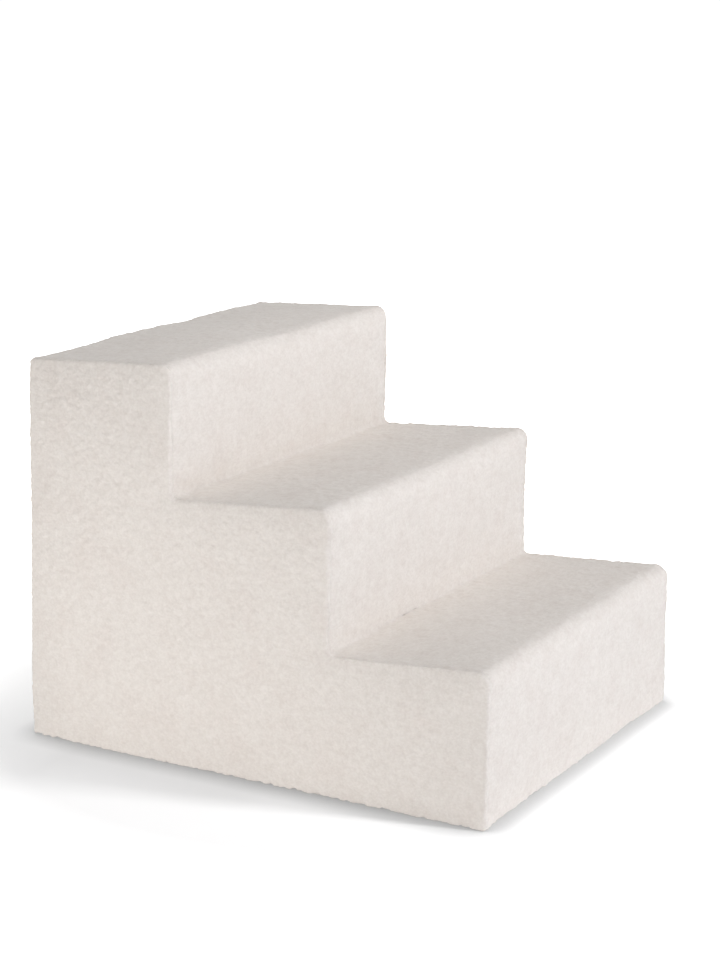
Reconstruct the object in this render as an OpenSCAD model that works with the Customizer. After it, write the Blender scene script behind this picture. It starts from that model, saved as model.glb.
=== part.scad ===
// Three-step pet stairs: a glued foam core in a zip-off plush cover with a non-slip base.
// The climbing side faces -Y, the width runs along X and the floor is Z = 0.
// The origin is on the floor, at the centre of the stairs.

/* [Stairs] */
// Overall width, from side to side
stair_w = 445; // [400:1:480]
// Depth of the lower tread, from the front to the second riser
run_lower = 169; // [150:1:200]
// Depth of the middle tread, from the second riser to the third
run_middle = 177; // [150:1:200]
// Depth of the upper tread, from the third riser to the back
run_upper = 172; // [150:1:200]
// Height of the lower nose over the floor
rise_lower = 150; // [130:1:160]
// Height of the middle nose over the lower one
rise_middle = 130; // [118:1:155]
// Height of the upper nose over the middle one
rise_upper = 120; // [112:1:155]
// Dip of the lower tread from its nose to its inner corner
fall_lower = 9; // [0:0.5:14]
// Dip of the middle tread from its nose to its inner corner
fall_middle = 12; // [0:0.5:14]
// Dip of the upper tread from its nose to the back
fall_upper = 9; // [0:0.5:14]

/* [Cover] */
// Thickness of the plush cloth, pile and backing together
cover_t = 6; // [4:0.5:8]
// Radius of the rounded front edge of each tread
nose_r = 12; // [9:1:20]
// Radius of the cloth in the corner between a tread and the next riser
corner_r = 7; // [5:1:14]
// Radius of the top back edge
back_edge_r = 5; // [4:1:12]
// Radius of the turn at each side seam and at the lower edges
seam_r = 3; // [2:0.5:3.5]
// Bulge of each tread and riser over its seams
tread_crown = 2; // [0.5:0.5:4]
// Bulge of each side panel over its seams
side_crown = 2.5; // [0.5:0.5:4]
// Bulge of the back flap over its seams
back_crown = 2; // [0.5:0.5:4]
// Distance from a seam over which a panel rises to its full bulge
crown_reach = 45; // [30:1:48]

/* [Foam core] */
// Thickness of the soft pad under each tread
pad_t = 25; // [22:1:35]

/* [Base] */
// Thickness of the non-slip base cloth
base_t = 2; // [1:0.5:3]
// Diameter of a grip dot
dot_d = 9; // [6:1:12]
// Height of a grip dot
dot_h = 1.2; // [0.8:0.1:2]
// Distance between the centres of grip dots
dot_pitch = 48; // [40:1:60]
// Bare margin of the base round the grip dots
dot_margin = 24; // [15:1:35]

/* [Zip route] */
// Distance from the side of the stairs to the middle of the zip
zip_inset = 38; // [34:1:60]
// Height of the zip's bottom run over the floor
zip_low = 34; // [30:1:50]
// Distance from the top of the stairs down to the ends of the zip
zip_top_gap = 42; // [36:1:70]
// Radius of the zip's two bends
zip_bend_r = 30; // [26:1:45]
// Width of the open channel that shows the zip
zip_channel = 14; // [13:0.5:18]

/* [Zip] */
// Width of one half of the zip tape
tape_w = 16; // [13:1:18]
// Thickness of the zip tape
tape_t = 0.6; // [0.4:0.1:0.8]
// Tape hidden under the cloth past each end of the channel
tape_tail = 10; // [6:1:14]
// Free slot between the two halves of the zip
zip_slot = 1.6; // [1.4:0.1:2]
// Width of the closed pair of coils
coil_w = 6.4; // [5.6:0.2:7]
// Thickness of the coils over the tape
coil_t = 2; // [1.6:0.1:2.2]
// Length of a stop at the end of the coils
stop_l = 2.5; // [2:0.5:4]
// Height that a stop stands over the coils
stop_rise = 0.4; // [0.2:0.1:0.6]
// Distance from a stop to the end of the channel
stop_gap = 3; // [2:0.5:5]
// Width of the thread bar across each end of the channel
tack_w = 1.8; // [1.2:0.2:2.4]
// Thickness of the thread bar
tack_t = 1; // [0.6:0.2:1.4]

/* [Slider and pull] */
// Length of the slider
slider_l = 12; // [10:0.5:14]
// Width of the slider's wide upper end
slider_w = 10; // [9.5:0.5:11]
// Width of the slider's lower end
slider_tail_w = 9.2; // [9.2:0.1:9.4]
// Thickness of each slider plate
plate_t = 1; // [0.8:0.1:1.2]
// Width of the post that joins the plates
post_w = 0.8; // [0.6:0.1:0.9]
// Length of the post
post_l = 3; // [2:0.5:4]
// Thickness of the side flanges that guide the coils
flange_t = 0.9; // [0.7:0.1:1]
// Width of the bridge that holds the pull
bridge_w = 2.2; // [1.6:0.2:2.6]
// Length of the bridge
bridge_l = 8; // [7:0.5:9]
// Thickness of the bridge
bridge_t = 1; // [0.8:0.1:1.2]
// Diameter of the pull's cross bar, which turns under the bridge
bar_d = 1.2; // [1:0.1:1.4]
// Length of the pull from its cross bar to its tip
pull_l = 26; // [20:1:30]
// Width of the pull
pull_w = 6.4; // [6:0.2:7.2]
// Thickness of the pull
pull_t = 1.2; // [1:0.1:1.4]
// Width of the arms on each side of the pull's eye
arm_w = 1.2; // [1:0.1:1.4]
// Radius of the hole near the pull's tip
pull_hole_r = 1.3; // [0.8:0.1:1.6]

/* [Clearances] */
// Clearance of the slider and pull to the zip, the foam and each other
run_gap = 0.3; // [0.2:0.05:0.4]
// Space in the foam behind the slider
foam_gap = 0.4; // [0.3:0.05:0.6]

/* [Hidden] */
$fn = 48;

// Overrun of every cut past the face that it leaves
cut = 1;
// Smallest radius that an edge keeps where its outline is drawn in
least_r = 1;

// Chord counts of the rounded edges; the inner corner's count is even
foot_n = 3;
nose_n = 6;
corner_n = 4;
bend_n = 5;
// Places along a flat stretch where its outline has points
span_shares = [0.25, 0.5, 0.75];
// Places across the width where the stair panel has points
across_shares = [-1, -0.8, -0.45, 0, 0.45, 0.8, 1];
// Angles of the turn from a seam to the flat of a side panel
turn_angles = [0, 45, 90];
// Shares of the crown's reach and of its height, from a seam inwards
crown_shares = [[0.2, 0.4], [0.5, 0.78], [1, 1]];

// Overall sizes
stair_l = run_lower + run_middle + run_upper;
stair_h = rise_lower + rise_middle + rise_upper;

// Faces of the cover at its seams
floor_z = dot_h;
side_x = stair_w / 2 - side_crown;
back_y = stair_l / 2 - back_crown;
riser_y = [
    -stair_l / 2 + tread_crown,
    -stair_l / 2 + tread_crown + run_lower,
    -stair_l / 2 + tread_crown + run_lower + run_middle
];
tread_z = [rise_lower, rise_lower + rise_middle, stair_h];
// Heights of the treads at their back ends
tread_back_z = [tread_z[0] - fall_lower, tread_z[1] - fall_middle, tread_z[2] - fall_upper];

// Faces of the foam core, one cloth thickness inside
foam_x = side_x - cover_t;
foam_back_y = back_y - cover_t;
foam_floor_z = floor_z + base_t;
foam_y = [for (y = riser_y) y + cover_t];
foam_z = [for (z = tread_z) z - cover_t];
foam_corner_z = [for (z = tread_back_z) z - cover_t];
slab_top_z = [for (z = foam_z) z - pad_t];

// Zip route on the back
zip_x = stair_w / 2 - zip_inset;
zip_end_z = stair_h - zip_top_gap;
top_seam_z = tread_back_z[2] - back_edge_r;
facing_split_z = zip_low + zip_bend_r;
coil_end_z = zip_end_z - stop_gap - stop_l;
coil_gap_half = zip_slot / 2;
channel_half = zip_channel / 2;

// Zip stack, from the foam outwards
tape_y = foam_back_y - tape_t;
coil_y = foam_back_y;
back_plate_y = tape_y - run_gap - plate_t;
front_plate_y = coil_y + coil_t + run_gap;
groove_d = foam_back_y - back_plate_y + foam_gap;
pull_gap_y = front_plate_y + plate_t;
bar_room = bar_d + 2 * run_gap;
slider_z = coil_end_z - run_gap - slider_l / 2;
pull_axis_y = pull_gap_y + bar_room / 2;
eye_l = bridge_l / 2 + bar_room;
eye_w = bridge_w + 2 * run_gap;

// Cloth and foam colours
plush = [0.90, 0.87, 0.84];
foam = [0.93, 0.90, 0.78];
soft_foam = [0.86, 0.90, 0.93];
grey_cloth = [0.45, 0.44, 0.43];
silicone = [0.30, 0.30, 0.31];
tape_white = [0.88, 0.86, 0.83];
coil_white = [0.94, 0.93, 0.90];
zinc = [0.66, 0.66, 0.65];

// Points of an arc in a plane
function arc(c, r, from, to, n) =
    [for (i = [0:n]) c + r * [cos(from + (to - from) * i / n), sin(from + (to - from) * i / n)]];

// Points on the straight stretch between two others, ends left out
function between(p, q) = [for (s = span_shares) p + (q - p) * s];

// Radius left of a rounded outer edge that is drawn in by d
function edge_r(r, d) = max(r - d, least_r);

// Outline points in the Y-Z plane, drawn in by d from the seams.
// From the foot of riser i, up it, over its nose and along its tread.
function step_points(i, d) =
    let (
        y = riser_y[i] + d,
        z = tread_z[i] - d,
        end_z = tread_back_z[i] - d,
        r = edge_r(nose_r, d),
        start_z = i == 0 ? floor_z + d + edge_r(seam_r, d) : tread_back_z[i - 1] + corner_r,
        end_y = i == 2 ? back_y - d - edge_r(back_edge_r, d) : riser_y[i + 1] - corner_r
    )
    concat(
        between([y, start_z], [y, z - r]),
        arc([y + r, z - r], r, 180, 90, nose_n),
        between([y + r, z], [end_y, end_z])
    );

// The rounded inner corner between tread i and the riser behind it
function corner_points(i, d) =
    arc([riser_y[i + 1] - corner_r, tread_back_z[i] + corner_r], corner_r + d, -90, 0, corner_n);

// The rounded lower front edge, from the floor up
function front_foot_points(d) =
    let (r = edge_r(seam_r, d))
    arc([riser_y[0] + d + r, floor_z + d + r], r, 270, 180, foot_n);

// The rounded top back edge, from the tread over to the back
function top_back_points(d) =
    let (r = edge_r(back_edge_r, d))
    arc([back_y - d - r, tread_back_z[2] - d - r], r, 90, 0, foot_n);

// The rounded lower back edge, from the back down to the floor
function back_foot_points(d) =
    let (r = edge_r(seam_r, d))
    arc([back_y - d - r, floor_z + d + r], r, 0, -90, foot_n);

// The stepped line from the floor at the front to the back
function stair_points(d) = concat(
    front_foot_points(d),
    step_points(0, d), corner_points(0, d),
    step_points(1, d), corner_points(1, d),
    step_points(2, d), top_back_points(d)
);

// The whole closed outline of a side panel
function side_outline(d) =
    let (
        stairs = stair_points(d),
        foot = back_foot_points(d)
    )
    concat(
        stairs,
        between(stairs[len(stairs) - 1], foot[0]),
        foot,
        between(foot[foot_n], stairs[0])
    );

// The foam's sharp inner corner, with as many points as the cloth's arc
function foam_corner_points(i) =
    let (
        half = corner_n / 2,
        sharp = [foam_y[i + 1], foam_corner_z[i]],
        from = [riser_y[i + 1] - corner_r, foam_corner_z[i]],
        to = [foam_y[i + 1], tread_back_z[i] + corner_r]
    )
    concat(
        [for (j = [0:half]) from + (sharp - from) * j / half],
        [for (j = [1:half]) sharp + (to - sharp) * j / half]
    );

// Outer line of the stair panel: the stepped line, and under the foot to the base cloth
function stair_outer_points() = concat([[foam_y[0], floor_z]], stair_points(0));

// Inner line of the stair panel, on the foam, point by point with the outer line
function stair_inner_points() = concat(
    [for (j = [0:foot_n + 1]) [foam_y[0], foam_floor_z + (cover_t - base_t) * j / (foot_n + 1)]],
    step_points(0, cover_t), foam_corner_points(0),
    step_points(1, cover_t), foam_corner_points(1),
    step_points(2, cover_t),
    [for (j = [0:foot_n - 1]) top_back_points(cover_t)[j]],
    [[foam_back_y, top_seam_z]]
);

// Outward bulge of each point of the stair line, as a share of the crown
function rest(n) = [for (j = [0:n]) [0, 0]];
function swell(way) = [for (s = span_shares) 4 * s * (1 - s) * way];
function step_swell() = concat(swell([-1, 0]), rest(nose_n), swell([0, 1]));
function stair_swell() = concat(
    rest(foot_n + 1),
    step_swell(), rest(corner_n),
    step_swell(), rest(corner_n),
    step_swell(), rest(foot_n)
);

// Bulge across the width: none at the side seams, full in the middle
function across_swell(v) = 1 - pow(abs(v), 3);

// Number of a point in a grid with n points in a row
function at(i, j, n) = i * n + j;

// Two triangles for four corners that turn clockwise as seen from outside
function two_faces(a, b, c, d) = [[a, b, c], [a, c, d]];

// Closed sheet between an outer and an inner grid of points
module sheet_solid(outer, inner) {
    rows = len(outer);
    n = len(outer[0]);
    skip = rows * n;
    points = concat([for (row = outer) each row], [for (row = inner) each row]);
    faces = concat(
        [for (i = [0:rows - 2], j = [0:n - 2])
            each two_faces(at(i, j, n), at(i + 1, j, n), at(i + 1, j + 1, n), at(i, j + 1, n))],
        [for (i = [0:rows - 2], j = [0:n - 2])
            each two_faces(skip + at(i, j, n), skip + at(i, j + 1, n),
                skip + at(i + 1, j + 1, n), skip + at(i + 1, j, n))],
        [for (i = [0:rows - 2])
            each two_faces(skip + at(i, 0, n), skip + at(i + 1, 0, n), at(i + 1, 0, n), at(i, 0, n))],
        [for (i = [0:rows - 2])
            each two_faces(at(i + 1, n - 1, n), skip + at(i + 1, n - 1, n),
                skip + at(i, n - 1, n), at(i, n - 1, n))],
        [for (j = [0:n - 2])
            each two_faces(at(0, j, n), at(0, j + 1, n), skip + at(0, j + 1, n), skip + at(0, j, n))],
        [for (j = [0:n - 2])
            each two_faces(at(rows - 1, j, n), skip + at(rows - 1, j, n),
                skip + at(rows - 1, j + 1, n), at(rows - 1, j + 1, n))]
    );
    polyhedron(points, faces);
}

// Closed solid through a stack of rings with equal counts of points.
// Its two ends are fans of triangles round a point that sees the whole ring.
module ring_solid(rings, first_hub, last_hub) {
    n = len(rings[0]);
    last = len(rings) - 1;
    low = len(rings) * n;
    high = low + 1;
    faces = concat(
        [for (j = [0:n - 1]) [low, (j + 1) % n, j]],
        [for (k = [0:last - 1], j = [0:n - 1])
            let (next = (j + 1) % n)
            each two_faces(at(k, j, n), at(k, next, n), at(k + 1, next, n), at(k + 1, j, n))],
        [for (j = [0:n - 1]) [high, at(last, j, n), at(last, (j + 1) % n, n)]]
    );
    polyhedron(concat([for (ring = rings) each ring], [first_hub, last_hub]), faces);
}

// A flat shape of X and Z values, as a plate from y towards the back
module on_back(y, t) {
    translate([0, y + t, 0]) rotate([90, 0, 0]) linear_extrude(t) children();
}

// A flat shape of Y and Z values, as a bar across the width w
module across(w) {
    translate([-w / 2, 0, 0]) rotate([90, 0, 90]) linear_extrude(w) children();
}

// Area within a line that runs alongside the zip, at a distance o outside it
module zip_field(o, top) {
    r = zip_bend_r + o;
    w = zip_x + o;
    low = zip_low - o;
    translate([-w, low + r]) square([2 * w, top - low - r]);
    translate([r - w, low]) square([2 * (w - r), r + cut]);
    for (side = [-1, 1]) {
        translate([side * (w - r), low + r]) circle(r);
    }
}

// Band between two lines alongside the zip
module zip_band(from, to, top) {
    difference() {
        zip_field(to, top);
        zip_field(from, top + cut);
    }
}

// Shallow relief in the back of the foam, where it gives way to the zip
module zip_relief() {
    on_back(foam_back_y - groove_d, groove_d + cut)
        zip_band(-tape_w - run_gap, tape_w + run_gap, zip_end_z + tape_tail + run_gap);
}

module foam_slab(y, low, top) {
    difference() {
        translate([-foam_x, y, low]) cube([2 * foam_x, foam_back_y - y, top - low]);
        zip_relief();
    }
}

module foam_slab_lower() {
    color(foam) foam_slab(foam_y[0], foam_floor_z, slab_top_z[0]);
}

module foam_slab_middle() {
    color(foam) foam_slab(foam_y[1], slab_top_z[0], slab_top_z[1]);
}

module foam_slab_upper() {
    color(foam) foam_slab(foam_y[2], slab_top_z[1], slab_top_z[2]);
}

// Soft pad with a rounded nose, whose back end is given point by point
module tread_pad(i, back_points) {
    nose = arc([riser_y[i] + nose_r, tread_z[i] - nose_r], nose_r - cover_t, 180, 90, nose_n);
    low = slab_top_z[i];
    across(2 * foam_x) polygon(concat([[foam_y[i], low]], nose, back_points));
}

// Back end of pad i, where it meets the slab behind it
function pad_end_points(i) = [
    [riser_y[i + 1] - corner_r, foam_corner_z[i]],
    [foam_y[i + 1], foam_corner_z[i]],
    [foam_y[i + 1], slab_top_z[i]]
];

module tread_pad_lower() {
    color(soft_foam) tread_pad(0, pad_end_points(0));
}

module tread_pad_middle() {
    color(soft_foam) tread_pad(1, pad_end_points(1));
}

module tread_pad_upper() {
    color(soft_foam) difference() {
        tread_pad(2, concat(top_back_points(cover_t), [[foam_back_y, slab_top_z[2]]]));
        zip_relief();
    }
}

// One strip over all the risers and treads, with no seam at the noses
module stair_panel() {
    line = stair_outer_points();
    under = stair_inner_points();
    bulge = stair_swell();
    outer = [for (i = [0:len(line) - 1]) [for (v = across_shares)
        let (p = line[i] + bulge[i] * tread_crown * across_swell(v))
        [v * foam_x, p[0], p[1]]]];
    inner = [for (p = under) [for (v = across_shares) [v * foam_x, p[0], p[1]]]];
    color(plush) sheet_solid(outer, inner);
}

// Stepped side: flat on the foam, turned in at every seam and crowned outside
module side_panel() {
    levels = concat(
        [[foam_x, 0]],
        [for (a = turn_angles) [side_x - seam_r * (1 - sin(a)), seam_r * (1 - cos(a))]],
        [for (s = crown_shares) [side_x + side_crown * s[1], seam_r + crown_reach * s[0]]]
    );
    // The back lower part of the side, which every point of the stepped outline faces
    hub = [(riser_y[2] + back_y) / 2, tread_z[0] / 2];
    ring_solid(
        [for (level = levels) [for (p = side_outline(level[1])) [level[0], p[0], p[1]]]],
        [foam_x, hub[0], hub[1]],
        [stair_w / 2, hub[0], hub[1]]
    );
}

module side_panel_right() {
    color(plush) side_panel();
}

module side_panel_left() {
    color(plush) mirror([1, 0, 0]) side_panel();
}

// Outline of the flap in X and Z, drawn in by d at the zip and by d_top at the seam
function flap_outline(d, d_top) =
    let (
        half = zip_x - channel_half - d,
        low = zip_low + channel_half + d,
        r = edge_r(zip_bend_r - channel_half, d),
        top = top_seam_z - d_top
    )
    concat(
        [[half, top]],
        between([half, top], [half, low + r]),
        arc([half - r, low + r], r, 0, -90, bend_n),
        between([half - r, low], [r - half, low]),
        arc([r - half, low + r], r, -90, -180, bend_n),
        between([-half, low + r], [-half, top]),
        [[-half, top]],
        between([-half, top], [half, top])
    );

module back_flap() {
    fold_r = cover_t / 2;
    levels = concat(
        [[foam_back_y, 0, 0]],
        [for (a = turn_angles) [back_y - fold_r * (1 - sin(a)), fold_r * (1 - cos(a)), 0]],
        [for (s = crown_shares) [back_y + back_crown * s[1], fold_r + crown_reach * s[0], crown_reach * s[0]]]
    );
    mid_z = (top_seam_z + zip_low) / 2;
    color(plush) ring_solid(
        [for (level = levels) [for (p = flap_outline(level[1], level[2])) [-p[0], level[0], p[1]]]],
        [0, foam_back_y, mid_z],
        [0, back_y + back_crown, mid_z]
    );
}

// Margin of the back outside the zip, full height, before it is cut into three
module facing_area() {
    difference() {
        translate([-foam_x, floor_z]) square([2 * foam_x, top_seam_z - floor_z]);
        zip_field(channel_half, zip_end_z);
        translate([channel_half - zip_x, zip_end_z - cut])
            square([2 * (zip_x - channel_half), top_seam_z - zip_end_z + 2 * cut]);
    }
}

module facing_side(side) {
    on_back(foam_back_y, cover_t) intersection() {
        facing_area();
        translate([side < 0 ? -foam_x : 0, facing_split_z])
            square([foam_x, top_seam_z - facing_split_z]);
    }
}

module back_facing_left() {
    color(plush) facing_side(-1);
}

module back_facing_right() {
    color(plush) facing_side(1);
}

// The bottom margin turns under at the floor like the front and the sides
module back_facing_bottom() {
    color(plush) intersection() {
        on_back(foam_back_y, cover_t) intersection() {
            facing_area();
            translate([-foam_x, floor_z]) square([2 * foam_x, facing_split_z - floor_z]);
        }
        across(2 * foam_x) polygon(concat(
            [[foam_back_y, floor_z], [foam_back_y, facing_split_z], [back_y, facing_split_z]],
            back_foot_points(0)
        ));
    }
}

module base_panel() {
    color(grey_cloth) translate([-foam_x, foam_y[0], floor_z])
        cube([2 * foam_x, foam_back_y - foam_y[0], base_t]);
}

// Grid of flat silicone dots that the stairs stand on
module grip_dots() {
    room_x = 2 * (foam_x - dot_margin);
    room_y = foam_back_y - foam_y[0] - 2 * dot_margin;
    nx = floor(room_x / dot_pitch);
    ny = floor(room_y / dot_pitch);
    mid_y = (foam_back_y + foam_y[0]) / 2;
    color(silicone) for (i = [0:nx], j = [0:ny]) {
        translate([(i - nx / 2) * dot_pitch, mid_y + (j - ny / 2) * dot_pitch, 0])
            cylinder(d = dot_d, h = dot_h);
    }
}

module zip_tape_flap() {
    color(tape_white) on_back(tape_y, tape_t)
        zip_band(-tape_w, -coil_gap_half, zip_end_z + tape_tail);
}

module zip_tape_facing() {
    color(tape_white) on_back(tape_y, tape_t)
        zip_band(coil_gap_half, tape_w, zip_end_z + tape_tail);
}

module zip_coil_flap() {
    color(coil_white) on_back(coil_y, coil_t) zip_band(-coil_w / 2, -coil_gap_half, coil_end_z);
}

module zip_coil_facing() {
    color(coil_white) on_back(coil_y, coil_t) zip_band(coil_gap_half, coil_w / 2, coil_end_z);
}

// One stop on each coil's upper end, over the slider
module zip_top_stops() {
    stop_w = (coil_w - zip_slot) / 2;
    color(zinc) for (x = [-coil_w / 2, coil_gap_half]) {
        translate([zip_x + x, coil_y, coil_end_z]) cube([stop_w, coil_t + stop_rise, stop_l]);
    }
}

// One stop across both coils, at the other end of the zip
module zip_end_stop() {
    color(zinc) translate([-zip_x - coil_w / 2, coil_y, coil_end_z])
        cube([coil_w, coil_t + stop_rise, stop_l]);
}

// A bar of thread across the channel at each end of the zip
module zip_bar_tacks() {
    color(tape_white) for (side = [-1, 1]) {
        translate([side * zip_x - channel_half, coil_y, zip_end_z - tack_w])
            cube([zip_channel, tack_t, tack_w]);
    }
}

// Outline of a slider plate: wide rounded shoulders over a narrower tail
module slider_outline() {
    shoulder_r = slider_l / 4;
    tail_l = slider_l - shoulder_r;
    translate([-slider_tail_w / 2, -slider_l / 2]) square([slider_tail_w, tail_l]);
    translate([shoulder_r - slider_w / 2, slider_l / 2 - 2 * shoulder_r])
        square([slider_w - 2 * shoulder_r, 2 * shoulder_r]);
    for (side = [-1, 1]) {
        translate([side * (slider_w / 2 - shoulder_r), slider_l / 2 - shoulder_r]) circle(shoulder_r);
    }
}

// Two plates joined by a post that runs in the slot of the zip
module zip_slider() {
    flange_y = coil_y + run_gap;
    color(zinc) translate([zip_x, 0, slider_z]) {
        on_back(back_plate_y, plate_t) slider_outline();
        on_back(front_plate_y, plate_t) slider_outline();
        translate([-post_w / 2, back_plate_y, slider_l / 2 - post_l])
            cube([post_w, front_plate_y + plate_t - back_plate_y, post_l]);
        for (side = [-1, 1]) {
            translate([side * (slider_tail_w - flange_t) / 2 - flange_t / 2, flange_y, -slider_l / 2])
                cube([flange_t, front_plate_y + plate_t - flange_y, slider_l * 3 / 4]);
        }
        difference() {
            translate([-bridge_w / 2, front_plate_y, -bridge_l / 2])
                cube([bridge_w, plate_t + bar_room + bridge_t, bridge_l]);
            translate([-bridge_w / 2 - cut, pull_gap_y, bridge_t - bridge_l / 2])
                cube([bridge_w + 2 * cut, bar_room, bridge_l - 2 * bridge_t]);
        }
    }
}

// Pull that hangs from the slider's bridge and swings out on its cross bar
module zip_pull() {
    eye_out = eye_w / 2 + arm_w;
    tip_r = pull_w / 2;
    color(zinc) translate([zip_x, pull_axis_y, slider_z]) {
        translate([-eye_out, 0, 0]) rotate([0, 90, 0]) cylinder(d = bar_d, h = 2 * eye_out);
        difference() {
            on_back(-pull_t / 2, pull_t) {
                for (side = [-1, 1]) {
                    translate([side * (eye_out - arm_w / 2) - arm_w / 2, -eye_l - arm_w])
                        square([arm_w, eye_l + arm_w]);
                }
                translate([-pull_w / 2, tip_r - pull_l]) square([pull_w, pull_l - tip_r - eye_l]);
                translate([0, tip_r - pull_l]) circle(tip_r);
            }
            translate([0, pull_t, tip_r - pull_l]) rotate([90, 0, 0])
                cylinder(r = pull_hole_r, h = 2 * pull_t);
        }
    }
}

foam_slab_lower();
foam_slab_middle();
foam_slab_upper();
tread_pad_lower();
tread_pad_middle();
tread_pad_upper();
stair_panel();
side_panel_left();
side_panel_right();
back_flap();
back_facing_left();
back_facing_right();
back_facing_bottom();
base_panel();
grip_dots();
zip_tape_flap();
zip_tape_facing();
zip_coil_flap();
zip_coil_facing();
zip_top_stops();
zip_end_stop();
zip_bar_tacks();
zip_slider();
zip_pull();
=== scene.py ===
"""Looks of the three-step pet stairs: plush cover, zip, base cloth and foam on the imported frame.

Lengths in the shapes are millimetres, and they become metres when a mesh is filled.
The climbing side faces -Y, the width runs along X and the floor is Z = 0.
"""

import logging
import math
from dataclasses import dataclass, field
from enum import Enum
from functools import cache
from itertools import product
from typing import Callable, Sequence

import bpy
import numpy as np
from mathutils import Matrix, Vector
from mathutils.geometry import delaunay_2d_cdt


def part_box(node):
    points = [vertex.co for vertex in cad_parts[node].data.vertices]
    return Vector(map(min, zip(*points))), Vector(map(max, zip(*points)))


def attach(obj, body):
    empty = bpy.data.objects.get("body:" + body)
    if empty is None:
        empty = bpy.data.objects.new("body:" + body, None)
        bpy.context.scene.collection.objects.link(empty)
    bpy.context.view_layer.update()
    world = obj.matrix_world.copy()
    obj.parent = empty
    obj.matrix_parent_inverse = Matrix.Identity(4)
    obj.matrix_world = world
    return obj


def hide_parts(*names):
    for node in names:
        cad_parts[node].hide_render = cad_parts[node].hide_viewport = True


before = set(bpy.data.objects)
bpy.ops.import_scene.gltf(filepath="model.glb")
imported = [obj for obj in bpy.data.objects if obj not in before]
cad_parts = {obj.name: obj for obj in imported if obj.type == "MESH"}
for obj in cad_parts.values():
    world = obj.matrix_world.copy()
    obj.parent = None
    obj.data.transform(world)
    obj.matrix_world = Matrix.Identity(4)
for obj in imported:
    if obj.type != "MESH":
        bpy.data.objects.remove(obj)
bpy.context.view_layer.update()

MM = 0.001
CHUNK = 4000
NAP = (0.7, 0.88, 1.1)
LEVELS = ("lower", "middle", "upper")
WHITE = (1.0, 1.0, 1.0, 1.0)
NEAR_ZERO = 1e-9
TOUCHING = 1e-6
LOG = logging.getLogger("pet_stairs")
Array = np.ndarray
Pair = tuple[float, float]
Triple = tuple[float, float, float]
Material = bpy.types.Material
Piece = bpy.types.Object
Socket = bpy.types.NodeSocket


class Side(Enum):
    """The two sides of the stairs, by the sign of X."""

    LEFT = -1
    RIGHT = 1


class Facing(Enum):
    """The way a panel faces: the axes of its width, height and thickness, and a sign."""

    MINUS_X = (1, 2, 0, -1)
    PLUS_X = (1, 2, 0, 1)
    PLUS_Y = (0, 2, 1, 1)
    MINUS_Z = (0, 1, 2, -1)


class Row(Enum):
    """The two rows of the zip, by the sign of their offset from its middle."""

    FLAP = -1
    FACING = 1


# ---- Shapes as whole arrays ----


def ease(distance: Array, reach: float) -> Array:
    """cos(pi d / (2 reach))^2 for a distance d within the reach, and 0 beyond it."""
    return np.cos(np.clip(distance / reach, 0, 1) * math.pi / 2) ** 2


def bell(distance: Array, width: float) -> Array:
    """exp(-(d / width)^2) for a distance d."""
    return np.exp(-((distance / width) ** 2))


def unit(vectors: Array) -> Array:
    """The vectors' directions, each of length 1."""
    return vectors / np.linalg.norm(vectors, axis=1, keepdims=True)


def upright(flat: Array, y: Array | float = 0.0) -> Array:
    """Places or directions in X and Z, with their Y."""
    return np.stack([flat[:, 0], np.broadcast_to(y, len(flat)), flat[:, 1]], axis=1)


def lattice_noise(points: Array, wavelength: float, seed: int) -> Array:
    """Soft noise in space, the same at a point for every piece.

    Formula: random values on a turned cubic lattice, blended between the eight corners of a cell
    with the weights t*t*t*(t*(6t-15)+10).

    Args:
        points: (..., 3) places in millimetres.
        wavelength: side of a lattice cell.
        seed: number that picks the random values.
    Returns:
        Values from -1 to 1, one for each point.
    """
    rng = np.random.default_rng(seed)
    size, shift = 64, 100
    table = rng.random((size, size, size), dtype=np.float32) * 2 - 1
    turn = np.linalg.qr(rng.normal(size=(3, 3)))[0]
    q = points @ turn / wavelength + shift
    cell = np.floor(q).astype(np.int64)
    t = q - cell
    t = t * t * t * (t * (t * 6 - 15) + 10)
    total = np.zeros(points.shape[:-1])
    for corner in product((0, 1), repeat=3):
        weight = np.prod(np.where(corner, t, 1 - t), axis=-1)
        i = (cell + corner) % size
        total += weight * table[i[..., 0], i[..., 1], i[..., 2]]
    return total


def grid_quads(rows: int, columns: int) -> Array:
    """Four point numbers for every cell of a grid of points whose last column joins the first."""
    i, j = np.meshgrid(np.arange(rows - 1), np.arange(columns), indexing="ij")
    k = (j + 1) % columns
    corners = [i * columns + j, i * columns + k, (i + 1) * columns + k, (i + 1) * columns + j]
    return np.stack(corners, axis=-1).reshape(-1, 4)


def end_caps(rows: int, columns: int) -> Array:
    """The first and the last row of such a grid, as the polygons that close it."""
    row = np.arange(columns)
    return np.stack([row[::-1], (rows - 1) * columns + row])


def triangles_of(polygons: Sequence[Array]) -> Array:
    """Fans of triangles for polygons of any size, as (count, 3) point numbers."""
    return np.concatenate([p[:, [0, k, k + 1]] for p in polygons for k in range(1, p.shape[1] - 1)])


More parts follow.
